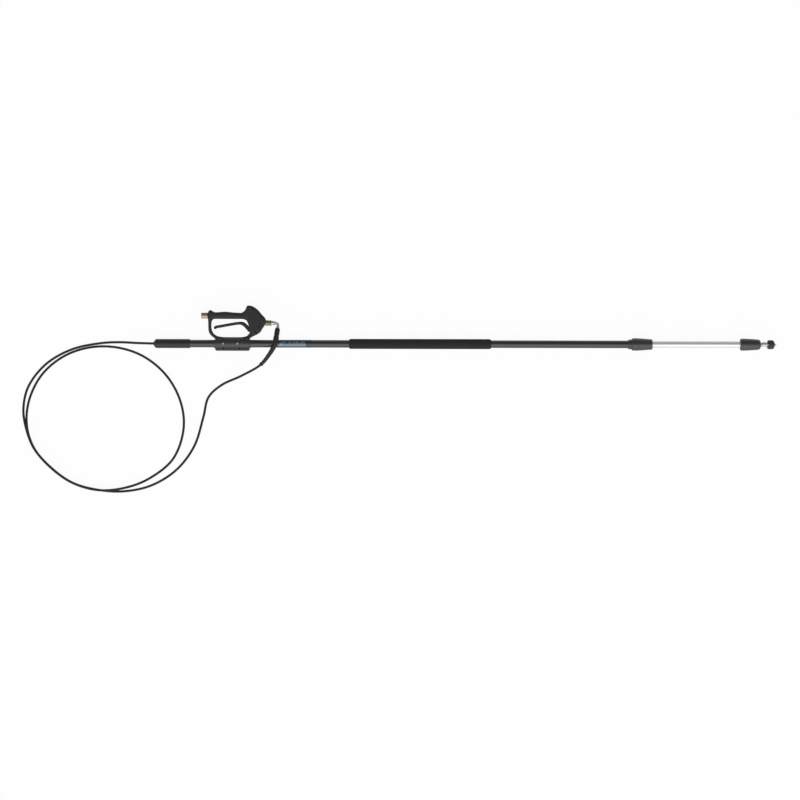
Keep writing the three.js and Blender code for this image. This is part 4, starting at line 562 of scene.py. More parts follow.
def printed_film(start):
    """Screen-printed vinyl under clear varnish: satin, navy, with even and speckled areas in pale ink."""
    material, tree, shader, place = new_material("printed_vinyl_film", {"Roughness": 0.3})
    on_label = add(tree, "ShaderNodeMapping", {"Vector": place, "Location": -start}).outputs[0]
    axes = add(tree, "ShaderNodeSeparateXYZ", {0: on_label}).outputs
    top = window(tree, axes[2], *UPPER_SIDE)
    noise = add(tree, "ShaderNodeTexNoise", {"Vector": place, "Scale": 1 / SPECK_SIZE, "Detail": 2})
    pale, dark = SPECK_LEVELS
    specks = add(tree, "ShaderNodeMapRange",
                 {"Value": noise.outputs["Fac"], "From Min": pale, "From Max": dark}).outputs[0]
    ink = add(tree, "ShaderNodeMix", {0: specks, 6: linear(ROW_PALE), 7: linear(ROW_SPECK)},
              data_type="RGBA").outputs[2]
    film = linear(LABEL_NAVY)
    areas = [(*SPECKLED_ROW, ink), *((*area, linear(colour)) for *area, colour in PRINTED_AREAS)]
    for along, across, soft, colour in areas:
        share = top
        for axis, span in zip(axes, (along, across)):
            inside = window(tree, axis, *span, soft)
            share = add(tree, "ShaderNodeMath", {0: share, 1: inside}, operation="MULTIPLY").outputs[0]
        film = add(tree, "ShaderNodeMix", {0: share, 6: film, 7: colour}, data_type="RGBA").outputs[2]
    drive(tree, shader, base_color=film)
    return material


label_start, label_end, label_radius = extent("pole_label")
label_band = turned("label_band", [
    (label_start, tube_radius + GLUE),
    (label_start, label_radius, 0.1),
    (label_end, label_radius, 0.1),
    (label_end, tube_radius + GLUE),
], POLE)
vinyl_film = printed_film(Vector((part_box("pole_label")[0].x, AXIS_Y, AXIS_Z)))
finish_piece(label_band, vinyl_film, "pole", "label_film", "pole_label")

# ---------------------------------------------------------------- twist lock
# A ring of glass-filled nylon bonded on the tube, whose thread carries the twist collar. The collar
# is turned to squeeze a split acetal cone on to the inner tube.

LOCK_RING_LENGTH = 13.5
LOCK_STEP = 6
LOCK_STEP_DROP = 0.8
LOCK_END_DROP = 1
LOCK_THREAD_RADIUS = 17
THREAD_PITCH = 3
THREAD_DEPTH = 0.8
THREAD_TURNS = 8
THREAD_RUNOUT = 1
THREAD_SHARES = (0, 0.35, 0.65)  # of a pitch: the root, and both ends of the crest
SEAM = 26
SEAM_DEPTH = 0.9
COLLAR_SIDE = [(0, 21.2), (1.5, 22.6), (5, 23.3), (10, 23.4), (18, 23.4), (26, 23.1), (45, 21.7), (64, 20.1),
               (71, 19.6)]  # from the collar's rear end
COLLAR_SIDE_STEP = 1.5
COLLAR_END_DROP = 0.4
CONE_SEAT = 2  # how far the seat's foot stands off the inner tube


def filled_nylon(name, dark, light, roughness):
    """Glass-filled nylon, injection moulded: satin, with a faint cloud of fibres under the skin."""
    return clouded(name, (dark, light), {"Roughness": roughness, "IOR": 1.7},
                   cloud=18, grit=0.8, relief=0.025)


lock_nylon = filled_nylon("filled_nylon_of_the_locks", "121213", "18191a", 0.4)
lock_start, lock_end, lock_radius = extent("lock_body")
thread_start = lock_start + LOCK_RING_LENGTH
ridges = [
    (thread_start + THREAD_RUNOUT + THREAD_PITCH * (i + share),
     LOCK_THREAD_RADIUS - THREAD_DEPTH * (share == 0))
    for i in range(THREAD_TURNS) for share in THREAD_SHARES
]
lock_sleeve = turned("lock_sleeve", [
    (lock_start, tube_seat),
    (lock_start, lock_radius - LOCK_END_DROP, 0.4),
    (lock_start + LOCK_STEP, lock_radius - LOCK_STEP_DROP, 0.2),
    (lock_start + LOCK_STEP, lock_radius, 0.6),
    (thread_start, lock_radius, 0.6),
    (thread_start, LOCK_THREAD_RADIUS - THREAD_DEPTH),
    *ridges,
    (lock_end, LOCK_THREAD_RADIUS - THREAD_DEPTH),
    (lock_end, tube_bore),
    (tube_end + GAP, tube_bore),
    (tube_end + GAP, tube_seat),
], POLE)
finish_piece(lock_sleeve, lock_nylon, "pole", "lock_nylon", "lock_body")

collar_start, collar_end, _ = extent("twist_collar")
cone_start, cone_end, _ = extent("lock_collet")
inner_start, inner_end, inner_radius = extent("inner_tube")
seam_place = collar_start + SEAM
collar_side = [(collar_start + x, y) for x, y in smooth_line(COLLAR_SIDE, COLLAR_SIDE_STEP)]
before_seam = [point for point in collar_side if point[0] < seam_place - SEAM_DEPTH]
after_seam = [point for point in collar_side if point[0] > seam_place + SEAM_DEPTH]
collar_shell = turned("collar_shell", [
    (collar_start, LOCK_THREAD_RADIUS + GAP),
    *before_seam,
    (seam_place, before_seam[-1][1] - SEAM_DEPTH),
    *after_seam,
    (collar_end, after_seam[-1][1] - COLLAR_END_DROP, 2),
    (collar_end, tube_bore + GAP),
    (cone_end + GAP, tube_bore + GAP),
    (cone_end + GAP, inner_radius + CONE_SEAT),
    (cone_start, LOCK_THREAD_RADIUS + GAP),
], POLE)
finish_piece(collar_shell, lock_nylon, "lock_collar", "lock_nylon", "twist_collar")

# ---------------------------------------------------------------- inner tube
# A drawn aluminium tube, 25 mm across, anodised clear. It slides in the outer tube and turns with the
# nozzle at its front end.

INNER_WALL = 1.2
OXIDE_METAL = 0.72  # how metallic it is; the rest is the milky oxide

# Drawn and clear-anodised aluminium: a soft silver with fine lines along the draw.
anodised = streaked("clear_anodised_aluminium", ("d3d4d5", "dddee0"), {"Metallic": OXIDE_METAL},
                    streak=(60, 0.4), roughness=(0.28, 0.38), relief=0.01, strength=0.3)
inner_bore = inner_radius - INNER_WALL
aluminium_tube = turned("aluminium_tube", [
    (inner_start, inner_bore),
    (inner_start, inner_radius, TUBE_EDGE),
    (inner_end, inner_radius, TUBE_EDGE),
    (inner_end, inner_bore),
], POLE)
finish_piece(aluminium_tube, anodised, "inner_pole", "inner_tube", "inner_tube")

# ---------------------------------------------------------------- end collar
# The nylon collar on the inner tube's front end, open round the tube at its back. It holds the hose's
# end fitting by its flange.

END_SIDE = [(0, 19.4), (1.5, 21.4), (5, 22.5), (10, 22.6), (22, 22.3), (36, 21.5), (52, 20.5), (64, 19.6)]
END_NOSE = 3.4  # the domed nose stands out from the collar's front face
END_NOSE_ROUNDING = 6
NOSE_SHOULDER = (1, 0.6)  # behind the front face, and below the side's end
NOSE_DROP = 8
MOUTH_WIDTH = 4
MOUTH_DEPTH = 7
MOUTH_EDGE = 1
STEM_RADIUS = 7.5
FLANGE_LENGTH = 4

end_start, end_end, _ = extent("end_collar")
bush_end = extent("end_bush")[1]
flange_end = bush_end + GAP + FLANGE_LENGTH
side_end = END_SIDE[-1][1]
end_collar_shell = turned("end_collar_shell", [
    (end_start + MOUTH_DEPTH, inner_radius + GAP),
    (end_start + MOUTH_EDGE, inner_radius + GAP + MOUTH_WIDTH, 0.5),
    *((end_start + x, y) for x, y in smooth_line(END_SIDE, COLLAR_SIDE_STEP)),
    (end_end - NOSE_SHOULDER[0], side_end - NOSE_SHOULDER[1], END_NOSE_ROUNDING),
    (end_end + END_NOSE, side_end - NOSE_DROP, END_NOSE_ROUNDING / 2),
    (end_end + END_NOSE, STEM_RADIUS + GAP, 0.5),
    (flange_end + GAP, STEM_RADIUS + GAP),
    (flange_end + GAP, inner_radius + GAP),
], POLE)
finish_piece(end_collar_shell, lock_nylon, "inner_pole", "lock_nylon", "end_collar")

# ---------------------------------------------------------------- tip: fitting, nozzle and guard
# The hose ends in a nickel-plated fitting that leaves the collar as a short neck and a hexagon. The
# stainless nozzle screws into it, inside an olive-black rubber guard.

FLANGE_RADIUS = 11
TIP_HEX_START = 9  # in front of the collar's front face
TIP_HEX_LENGTH = 14
TIP_HEX_ACROSS = 17.5
TIP_HEX_CHAMFER = 1.2
TIP_SOCKET_RADIUS = 8.5
TIP_NECK = (3, 2.4)  # in front of the collar's front face, and behind the hexagon
TIP_NECK_SLOPE = 0.8
TIP_NECK_GROOVE = 1.1
TIP_HEX_LAP = 1  # how far the fitting's stem and socket run into the hexagon
WATERWAY = 2.5
SPIGOT_RADIUS = 5
SPIGOT_DEPTH = 15
HOSE_DEPTH = 25
NOZZLE_FLANGE = (3.5, 7.8)  # length and radius
NOZZLE_NOSE_RADIUS = 5.3
NOZZLE_NOSE_OUT = 0.5  # past the guard's front face
NOZZLE_TIP_LENGTH = 2.4
NOZZLE_SHOULDER_RADIUS = 3.2
NOZZLE_TIP_RADII = (2.3, 2)  # at its foot and at its end
ORIFICE = 1.2
ORIFICE_FUNNEL = 4
TIP_GUARD_SIDE = [(-1.8, 13.4), (-0.8, 15.5), (3, 16.7), (10, 17), (17, 16.8), (20.6, 15.2), (22.8, 12),
                  (24.6, 9), (25.6, 7)]
TIP_GUARD_SIDE_STEP = 1
TIP_GUARD_POCKET = (3.8, 8.2)  # depth and radius of the room for the nozzle's flange
TIP_GUARD_BORE = 5.65
NOTCH_HALF = 8.6
NOTCH_FLOOR_HALF = 3.8
NOTCH_DEPTH = 4.4
NOTCH_START = -3
CHAMFER_SLOPE = 0.6  # along the bar for each millimetre that a corner drops
CHAMFER_CLEARANCE = 0.02
PLATE_EDGE = 0.1  # least rounding that a cutting plate needs


def settle(piece):
    """Makes a piece's modifiers part of its own mesh."""
    mesh = plain_mesh(piece)
    piece.modifiers.clear()
    piece.data = mesh


def carve(piece, *tools, operation="DIFFERENCE"):
    """Cuts tools out of a piece, joins them to it, or keeps what they share, and deletes the tools."""
    for tool in tools:
        modifier = piece.modifiers.new("carve", "BOOLEAN")
        modifier.operation = operation
        modifier.solver = "MANIFOLD"
        modifier.object = tool
    settle(piece)
    for tool in tools:
        bpy.data.objects.remove(tool)
    return piece


def rod(start, end, radius, place, sides=48):
    """A plain rod along the local X axis, to cut or join with."""
    return turned("rod", [(start, 0), (start, radius), (end, radius), (end, 0)], place, sides)


def hexagon(start, end, across, place, chamfer=0.0):
    """A hexagonal bar along the local X axis, a corner up, its corners turned off at both ends."""
    corner = across / math.sqrt(3)
    made = rod(start, end, corner, place @ Matrix.Rotation(math.pi / 2, 4, "X"), sides=6)
    if not chamfer:
        return made
    drop = (corner - across / 2) * chamfer
    slope = drop * CHAMFER_SLOPE
    clear = corner + CHAMFER_CLEARANCE
    ends = turned("ends", [
        (start, 0),
        (start, corner - drop),
        (start + slope, clear),
        (end - slope, clear),
        (end, corner - drop),
        (end, 0),
    ], place)
    return carve(made, ends, operation="INTERSECT")


def slab(name, outlines, half, rounding, place, inset=0.0):
    """A plate from flat outlines, half as thick to each side, its edges rounded."""
    data = bpy.data.curves.new(name, "CURVE")
    data.dimensions = "2D"
    data.fill_mode = "BOTH"
    data.extrude = (half - rounding) * MM
    data.bevel_depth = rounding * MM
    data.bevel_resolution = 5
    data.offset = -(rounding + inset) * MM
    for line in outlines:
        spline = data.splines.new("POLY")
        spline.points.add(len(line) - 1)
        spline.use_cyclic_u = True
        count = len(line)
        spline.points.foreach_set("co", np.c_[np.array(line) * MM, np.zeros(count), np.ones(count)].ravel())
    source = new_object(name, data)
    mesh = plain_mesh(source)
    bpy.data.objects.remove(source)
    mesh.transform(place)
    return closed(name, mesh)


# Turned brass plated with nickel: a warm silver shine, half blurred by handling and wear.
nickel = clouded("worn_nickel_plate", ("b2b2af", "c4c4c1"), {"Metallic": 1, "Roughness": 0.42},
                 cloud=8, grit=1.5, relief=0.01)
# Turned stainless steel: a grey silver with fine marks from the lathe.
stainless = clouded("turned_stainless_steel", ("a9aaab", "bcbdbe"), {"Metallic": 1, "Roughness": 0.28},
                    cloud=5, grit=0.3, relief=0.01)
# Compression-moulded rubber: black with a tint of olive, matt, with the mould's grain.
olive_rubber = clouded("moulded_olive_rubber", ("1a1b13", "2a2b22"), {"Roughness": 0.55},
                       cloud=12, grit=1, relief=0.05)

fitting_start, fitting_end, _ = extent("hose_end_fitting")
hex_start = end_end + TIP_HEX_START
hex_end = hex_start + TIP_HEX_LENGTH
neck_start = end_end + TIP_NECK[0]
neck_end = hex_start - TIP_NECK[1]
tip_hex = hexagon(hex_start, hex_end, TIP_HEX_ACROSS, POLE, TIP_HEX_CHAMFER)
tip_fitting = turned("tip_fitting", [
    (fitting_start, HOSE_HOLE),
    (fitting_start, STEM_RADIUS, 0.5),
    (bush_end + GAP, STEM_RADIUS),
    (bush_end + GAP, FLANGE_RADIUS, 0.5),
    (flange_end, FLANGE_RADIUS, 0.5),
    (flange_end, STEM_RADIUS),
    (neck_start, STEM_RADIUS),
    (neck_start + TIP_NECK_SLOPE, STEM_RADIUS - TIP_NECK_GROOVE),
    (neck_end, STEM_RADIUS - TIP_NECK_GROOVE),
    (neck_end + TIP_NECK_SLOPE, STEM_RADIUS),
    (hex_start + TIP_HEX_LAP, STEM_RADIUS),
    (hex_end - TIP_HEX_LAP, TIP_SOCKET_RADIUS),
    (fitting_end, TIP_SOCKET_RADIUS, 0.6),
    (fitting_end, SPIGOT_RADIUS + GAP),
    (fitting_end - SPIGOT_DEPTH, SPIGOT_RADIUS + GAP),
    (fitting_end - SPIGOT_DEPTH, WATERWAY),
    (fitting_start + HOSE_DEPTH, WATERWAY),
    (fitting_start + HOSE_DEPTH, HOSE_HOLE),
], POLE)
tip_bore = rod(hex_start - TIP_HEX_LAP, fitting_end + TIP_HEX_LAP, SPIGOT_RADIUS + GAP, POLE)
carve(tip_fitting, carve(tip_hex, tip_bore), operation="UNION")
finish_piece(tip_fitting, nickel, "inner_pole", "nickel_plated", "hose_end_fitting", angle=25)

nozzle_start, nozzle_end, _ = extent("nozzle")
guard_start, guard_end, guard_radius = extent("nozzle_guard")
nozzle_flange_length, nozzle_flange_radius = NOZZLE_FLANGE
nozzle_tip_foot, nozzle_tip_end = NOZZLE_TIP_RADII
spray_nozzle = turned("spray_nozzle", [
    (nozzle_start, WATERWAY),
    (nozzle_start, SPIGOT_RADIUS, 0.4),
    (guard_start, SPIGOT_RADIUS),
    (guard_start, nozzle_flange_radius, 0.4),
    (guard_start + nozzle_flange_length, nozzle_flange_radius, 0.4),
    (guard_start + nozzle_flange_length, NOZZLE_NOSE_RADIUS),
    (guard_end + NOZZLE_NOSE_OUT, NOZZLE_NOSE_RADIUS, 0.8),
    (nozzle_end - NOZZLE_TIP_LENGTH, NOZZLE_SHOULDER_RADIUS, 0.8),
    (nozzle_end - NOZZLE_TIP_LENGTH, nozzle_tip_foot),
    (nozzle_end, nozzle_tip_end, 0.4),
    (nozzle_end, ORIFICE),
    (guard_end, ORIFICE),
    (guard_end - ORIFICE_FUNNEL, WATERWAY),
], POLE)
finish_piece(spray_nozzle, stainless, "inner_pole", "stainless_steel", "nozzle", angle=30)

pocket_depth, pocket_radius = TIP_GUARD_POCKET
tip_guard = turned("tip_guard", [
    (guard_start + TIP_GUARD_SIDE[0][0], pocket_radius, 0.6),
    *((guard_start + x, y) for x, y in smooth_line(TIP_GUARD_SIDE, TIP_GUARD_SIDE_STEP)),
    (guard_start + TIP_GUARD_SIDE[-1][0], TIP_GUARD_BORE),
    (guard_start + pocket_depth, TIP_GUARD_BORE),
    (guard_start + pocket_depth, pocket_radius),
], POLE)
notch_line = rounded([
    (NOTCH_START, -NOTCH_HALF - 1),
    (0, -NOTCH_HALF, 1),
    (NOTCH_DEPTH, -NOTCH_FLOOR_HALF, 3),
    (NOTCH_DEPTH, NOTCH_FLOOR_HALF, 3),
    (0, NOTCH_HALF, 1),
    (NOTCH_START, NOTCH_HALF + 1),
])
notch = slab("notch", [notch_line + (guard_start, 0)], guard_radius + 2, PLATE_EDGE, POLE)
carve(tip_guard, notch)
finish_piece(tip_guard, olive_rubber, "inner_pole", "nozzle_guard", "nozzle_guard", angle=35)

# ---------------------------------------------------------------- gun shells
# Two shells of glass-filled nylon, screwed together from one side: a round handle, a high head that
# holds the valve, and a guard loop whose lower bar is gripped by the clamp.

CLAMP_NECK = 5
GUARD_HALF = 7
GUARD_ROUNDING = 4.5
HANDLE_HALF = 16
HANDLE_ROUNDING = 11
HEAD_HALF = 20.7
HEAD_ROUNDING = 8
FACE_HALF = 23.3  # the raised middle of the head, which lies on the floor
FACE_ROUNDING = 3
SHELL_WALL = 3
OUTLINE_STEP = 2
SHELL_VOXEL = 0.9 * MM
SHELL_SOFTENING = 6
HOLLOW_VOXEL = 1.5 * MM
HOLLOW_SOFTENING = 1
PARTING_GAP = 0.3
INLET_Y = 104
OUTLET_Y = 77
PIVOT = (165.5, 62.5)
FAR_AWAY = 400

# Edges of the gun, drawn from the clamp's rear end and the pole's axis.
BAR_END = (127.5, 14.6)
HEAD_FOOT = [(129.5, 38), (133.5, 29)]
HEAD_FRONT = [(130.5, 20.5), (149, 31.4), (168, 43.6), (175, 55.4), (184.4, 69.5), (189, 84)]
HEAD_TOP = [(187, 93.4), (172.4, 110.2), (158.2, 126.6), (141.4, 138.5), (128.5, 142), (119, 141),
            (115, 132.5), (110.5, 124), (103, 117.6)]
HEAD_ROOT = [(99, 112), (99, 102), (107, 91)]
HEAD_HEEL = (129.5, 46)
HEAD_REAR = [(122.5, 74.5), (116.25, 86.4), (103, 92)]
HANDLE_ROOT = [(122, 92), (129.5, 98), (129.5, 108), (122, 114), (99, 114)]
HANDLE_BACK = [(94, 114.8), (72, 116), (37, 119), (-1, 117.3)]
HANDLE_HEEL = [(-16, 86), (-6.5, 92)]
HANDLE_BOTTOM = 92
REAR_BOSS = [(-10, 121), (-17.8, 125.5), (-25, 121), (-28.6, 112.5), (-28, 100), (-26.4, 80)]
GUARD_BEND = [(-26.2, 57), (-23.8, 43), (-16.4, 31), (-6.4, 23), (4, 14.6)]
GAP_CORNER = [(-1.5, 92), (-8.5, 90), (-12.4, 85), (-14, 78)]
GAP_BEND = [(-14, 57), (-10.8, 46.8), (-4.6, 36.6), (6.3, 29), (18.5, 25.9)]
GAP_FLOOR = [(18.5, 25.9), (36, 24), (60, 23), (84, 23.4), (101, 24.8), (116, 28.2), (124.5, 35.5), (129, 44),
             (129.5, 52)]
RAISED_FACE = [(152, 40), (163, 50), (168.5, 62), (168, 76), (172.5, 92), (169, 104), (154, 121), (136, 134),
               (125, 134), (117.5, 128), (111, 112), (118, 97), (128, 80), (136, 56), (139, 43)]

# Room inside the shells for the valve, the trigger and the screws.
POST_RADIUS = 5
HOUSING_SCREWS = [(-17, 117.5, 16), (140, 128, 23.3), (172, 98, 23.3), (150.5, 42.1, 23.3)]
SCREW_RECESS = 6
SCREW_HOLE_RADIUS = 3.6
SCREW_SHANK_HOLE = 2.05
SCREW_END_WALL = 7.7
TRIGGER_ROOM = 8.6
VALVE_ROOM = 13.3
VALVE_PAD = ((135.5, 80.5), (159.5, 107.5))
SADDLES = (28, 86)
SADDLE_TOP = 142
INLET_SEAT = (-12.6, 8.3)  # where it ends along the gun, and its radius
INLET_CHANNEL = (-28, 130.5, 5.8)  # both ends and the radius
OUTLET_CHANNEL = (163.5, 6.3)
OUTLET_SEAT = (186.2, 10.3)
TRIGGER_SLOT = ((104.5, 43), (139.5, 88))
PIVOT_HOLE = 2.8
PIVOT_HOLE_START = -21.6
PIVOT_SINK = (2, 4.6)  # depth and radius
CLAMP_SCREW_HOLE = 2.3
UPPER_SCREWS = [(30, 18.8), (109, 18.8)]
HOLE_SIDES = 32

clamp_low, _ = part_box("bracket_far")
gun_origin = Vector((clamp_low.x + CLAMP_NECK * MM, AXIS_Y, AXIS_Z))
GUN = Matrix.Translation(gun_origin)
UPRIGHT = Matrix.Rotation(-math.pi / 2, 4, "Y")


def outline(*edges):
    """One closed outline from drawn edges, with even steps and no doubled corners."""
    line = np.vstack([smooth_line(edge, OUTLINE_STEP) for edge in edges])
    apart = np.linalg.norm(line - np.roll(line, 1, axis=0), axis=1)
    return line[apart > OUTLINE_STEP / 10]


def block(low, high, place):
    """A plain box between two corners, to cut or join with."""
    corners = [(x, y, z) for x in (low[0], high[0]) for y in (low[1], high[1]) for z in (low[2], high[2])]
    faces = [(0, 1, 3, 2), (4, 6, 7, 5), (0, 4, 5, 1), (2, 3, 7, 6), (0, 2, 6, 4), (1, 5, 7, 3)]
    mesh = bpy.data.meshes.new("block")
    mesh.from_pydata([Vector(corner) * MM for corner in corners], [], faces)
    mesh.transform(place)
    return closed("block", mesh)


def fuse(name, parts, voxel, softening):
    """One body from overlapping parts, remeshed by voxels and softened where they meet."""
    shape = bmesh.new()
    for part in parts:
        shape.from_mesh(part.data)
        bpy.data.objects.remove(part)
    mesh = bpy.data.meshes.new(name)
    shape.to_mesh(mesh)
    shape.free()
    made = new_object(name, mesh)
    remesh = made.modifiers.new("fuse", "REMESH")
    remesh.mode = "VOXEL"
    remesh.voxel_size = voxel
    soften = made.modifiers.new("soften", "SMOOTH")
    soften.iterations = softening
    settle(made)
    return made


def on_gun(x, y, z=0):
    """A place on the gun whose local X axis points up."""
    return GUN @ Matrix.Translation(Vector((x, y, z)) * MM) @ UPRIGHT


def gun_line(y):
    """The gun's frame, moved to a line along the pole's direction."""
    return GUN @ Matrix.Translation((0, y * MM, 0))


guard_line = outline(
    [GUARD_BEND[-1], BAR_END], [BAR_END, *HEAD_FRONT, *HEAD_TOP, *HANDLE_BACK, *REAR_BOSS],
    [REAR_BOSS[-1], GUARD_BEND[0]], GUARD_BEND)
gap_line = outline([*GAP_FLOOR, *HEAD_REAR], [HEAD_REAR[-1], GAP_CORNER[0]], [*GAP_CORNER, *GAP_BEND])
handle_line = outline(
    [HANDLE_HEEL[-1], HANDLE_ROOT[0]], [*HANDLE_ROOT, *HANDLE_BACK, *REAR_BOSS],
    [REAR_BOSS[-1], *HANDLE_HEEL])
head_line = outline(
    [*HEAD_FOOT, *HEAD_FRONT[1:], *HEAD_TOP], [HEAD_TOP[-1], *HEAD_ROOT],
    [HEAD_ROOT[-1], *HEAD_REAR[1::-1], HEAD_HEEL, HEAD_FOOT[0]])
face_line = outline([*RAISED_FACE, RAISED_FACE[0]])

gun = fuse("gun", [
    slab("guard", [guard_line, gap_line[::-1]], GUARD_HALF, GUARD_ROUNDING, GUN),
    slab("handle", [handle_line], HANDLE_HALF, HANDLE_ROUNDING, GUN),
    slab("head", [head_line], HEAD_HALF, HEAD_ROUNDING, GUN),
    slab("face", [face_line], FACE_HALF, FACE_ROUNDING, GUN),
], SHELL_VOXEL, SHELL_SOFTENING)
hollow = fuse("hollow", [
    slab(name, [line], half - SHELL_WALL, rounding - SHELL_WALL, GUN, inset=SHELL_WALL)
    for name, line, half, rounding in (("handle", handle_line, HANDLE_HALF, HANDLE_ROUNDING),
                                       ("head", head_line, HEAD_HALF, HEAD_ROUNDING))
], HOLLOW_VOXEL, HOLLOW_SOFTENING)

posts = [rod(-FACE_HALF, FACE_HALF, POST_RADIUS, on_gun(x, y)) for x, y, _ in HOUSING_SCREWS]
pivots = [rod(low, low + FACE_HALF, POST_RADIUS, on_gun(*PIVOT))
          for low in (TRIGGER_ROOM, -TRIGGER_ROOM - FACE_HALF)]
pads = [block((*VALVE_PAD[0], low), (*VALVE_PAD[1], low + FACE_HALF), GUN)
        for low in (VALVE_ROOM, -VALVE_ROOM - FACE_HALF)]
saddles = [block((x, HANDLE_BOTTOM, -FACE_HALF), (x + SHELL_WALL, SADDLE_TOP, FACE_HALF), GUN)
           for x in SADDLES]
carve(hollow, *posts, *pivots, *pads, *saddles)
screw_holes = []
for x, y, face in HOUSING_SCREWS:
    screw_holes.append(rod(face - SCREW_RECESS, FAR_AWAY, SCREW_HOLE_RADIUS, on_gun(x, y)))
    screw_holes.append(rod(SCREW_END_WALL - face, face - SCREW_RECESS + 1, SCREW_SHANK_HOLE, on_gun(x, y)))
carve(
    gun, hollow,
    rod(-FAR_AWAY, *INLET_SEAT, gun_line(INLET_Y)),
    rod(*INLET_CHANNEL, gun_line(INLET_Y), sides=HOLE_SIDES),
    rod(OUTLET_CHANNEL[0], FAR_AWAY, OUTLET_CHANNEL[1], gun_line(OUTLET_Y)),
    rod(OUTLET_SEAT[0], FAR_AWAY, OUTLET_SEAT[1], gun_line(OUTLET_Y)),
    block((*TRIGGER_SLOT[0], -TRIGGER_ROOM), (*TRIGGER_SLOT[1], TRIGGER_ROOM), GUN),
    rod(PIVOT_HOLE_START, FAR_AWAY, PIVOT_HOLE, on_gun(*PIVOT), sides=HOLE_SIDES),
    rod(FACE_HALF - PIVOT_SINK[0], FAR_AWAY, PIVOT_SINK[1], on_gun(*PIVOT)),
    *screw_holes,
    *(rod(-FAR_AWAY, FAR_AWAY, CLAMP_SCREW_HOLE, on_gun(x, y), sides=HOLE_SIDES) for x, y in UPPER_SCREWS),
)

# Glass-filled nylon from a spark-eroded mould: charcoal, matt, finely pitted.
gun_nylon = clouded("spark_textured_nylon", ("0e0f0f", "161717"), {"Roughness": 0.6},
                    cloud=22, grit=0.9, relief=0.06, grit_detail=3)
for name, node, low, high in (("gun_near_half", "gun_shell_near", -FAR_AWAY, PARTING_GAP / 2),
                              ("gun_far_half", "gun_shell_far", -PARTING_GAP / 2, FAR_AWAY)):
    half = new_object(name, gun.data.copy())
    carve(half, block((-FAR_AWAY, -FAR_AWAY, low), (FAR_AWAY, FAR_AWAY, high), GUN))
    finish_piece(half, gun_nylon, "pole", "gun_nylon", node, angle=35)
bpy.data.objects.remove(gun)

# ---------------------------------------------------------------- trigger and its latch
# A bent nylon lever on a steel pin inside the head, with a slot near its free end. A flap lies in the
# slot; folded out, it stands against the handle and keeps the gun shut.

TRIGGER_LINE = [(-4.2, 55.4), (1.8, 61), (20, 64.8), (49, 70.2), (82, 75.6), (96, 76), (104, 73.8), (113, 67),
                (121, 58.6), (130, 49), (147.5, 53.4), (165.5, 62.5)]
TRIGGER_HALF = 8
TRIGGER_THICKNESS = 10.4
TRIGGER_SWELL = [(88, 1), (104, 1.34), (126, 1.34), (141, 0.84)]  # shares of it, by place along the gun
TRIGGER_ROUNDING = 2.6
TRIGGER_END_WIDTH = 0.7  # share of the width that the rounded ends keep
TRIGGER_STEP = 1
TRIGGER_VOXEL = 0.6 * MM
TRIGGER_SOFTENING = 3
PUSH_PAD = ((143, 50.9, -4.5), (152, 58.1, 4.5))  # it bears on the valve's rod
PIVOT_BOSS = 6
PIVOT_PIN_HALF = 21.3
PIVOT_PIN_RADIUS = 2.5
LATCH_PIN = (9, 63.4)
LATCH_PIN_SPAN = (-7.5, 6.1)
LATCH_PIN_RADIUS = 1.5
LATCH_PIN_HOLE = 1.8
LATCH_PIN_WALL = 1.6
LATCH_TILT = math.radians(10)
LATCH_BEND = 0.35  # radians
LATCH_HALF = 2.7
LATCH_ROUNDING = 0.7
LATCH_ARM = 26
LATCH_HEIGHT = 4.4
LATCH_HOOK = 15
LATCH_EYE = 3
LATCH_VOXEL = 0.35 * MM
LATCH_SOFTENING = 2
SLOT_HALF = 3.3
SLOT_ROUNDING = 0.4
SLOT_REAR = -24
SLOT_DEPTH = (40, 95)


def trigger_bar():
    """A bar with rounded edges that follows the trigger's line, swells with it and ends round."""
    half, thick = TRIGGER_HALF, TRIGGER_THICKNESS / 2
    section = rounded([(x, y, TRIGGER_ROUNDING)
                       for x, y in ((half, thick), (-half, thick), (-half, -thick), (half, -thick))])
    path = smooth_line(TRIGGER_LINE, TRIGGER_STEP)
    forward = np.gradient(path, axis=0)
    forward /= np.linalg.norm(forward, axis=1)[:, None]
    normal = np.stack([-forward[:, 1], forward[:, 0]], axis=1)
    count, sides = len(path), len(section)
    from_end = np.minimum(np.arange(count), np.arange(count)[::-1]) / TRIGGER_THICKNESS * 2
    scale = np.sqrt(1 - np.clip(1 - from_end, 0, 1) ** 2)[:, None]
    swell = np.interp(path[:, 0], *zip(*TRIGGER_SWELL))[:, None]
    flat = path[:, None, :] + normal[:, None, :] * (section[None, :, 1] * scale * swell)[:, :, None]
    width = section[None, :, 0] * (TRIGGER_END_WIDTH + (1 - TRIGGER_END_WIDTH) * scale)
    points = np.concatenate([flat, width[:, :, None]], axis=2) * MM
    faces = []
    for ring in range(0, (count - 1) * sides, sides):
        for side in range(sides):
            onward = (side + 1) % sides
            faces.append((ring + side, ring + onward, ring + sides + onward, ring + sides + side))
    faces += [tuple(range(sides)), tuple(range((count - 1) * sides, count * sides))]
    mesh = bpy.data.meshes.new("bar")
    mesh.from_pydata(points.reshape(-1, 3), [], faces)
    mesh.transform(GUN)
    return closed("bar", mesh)


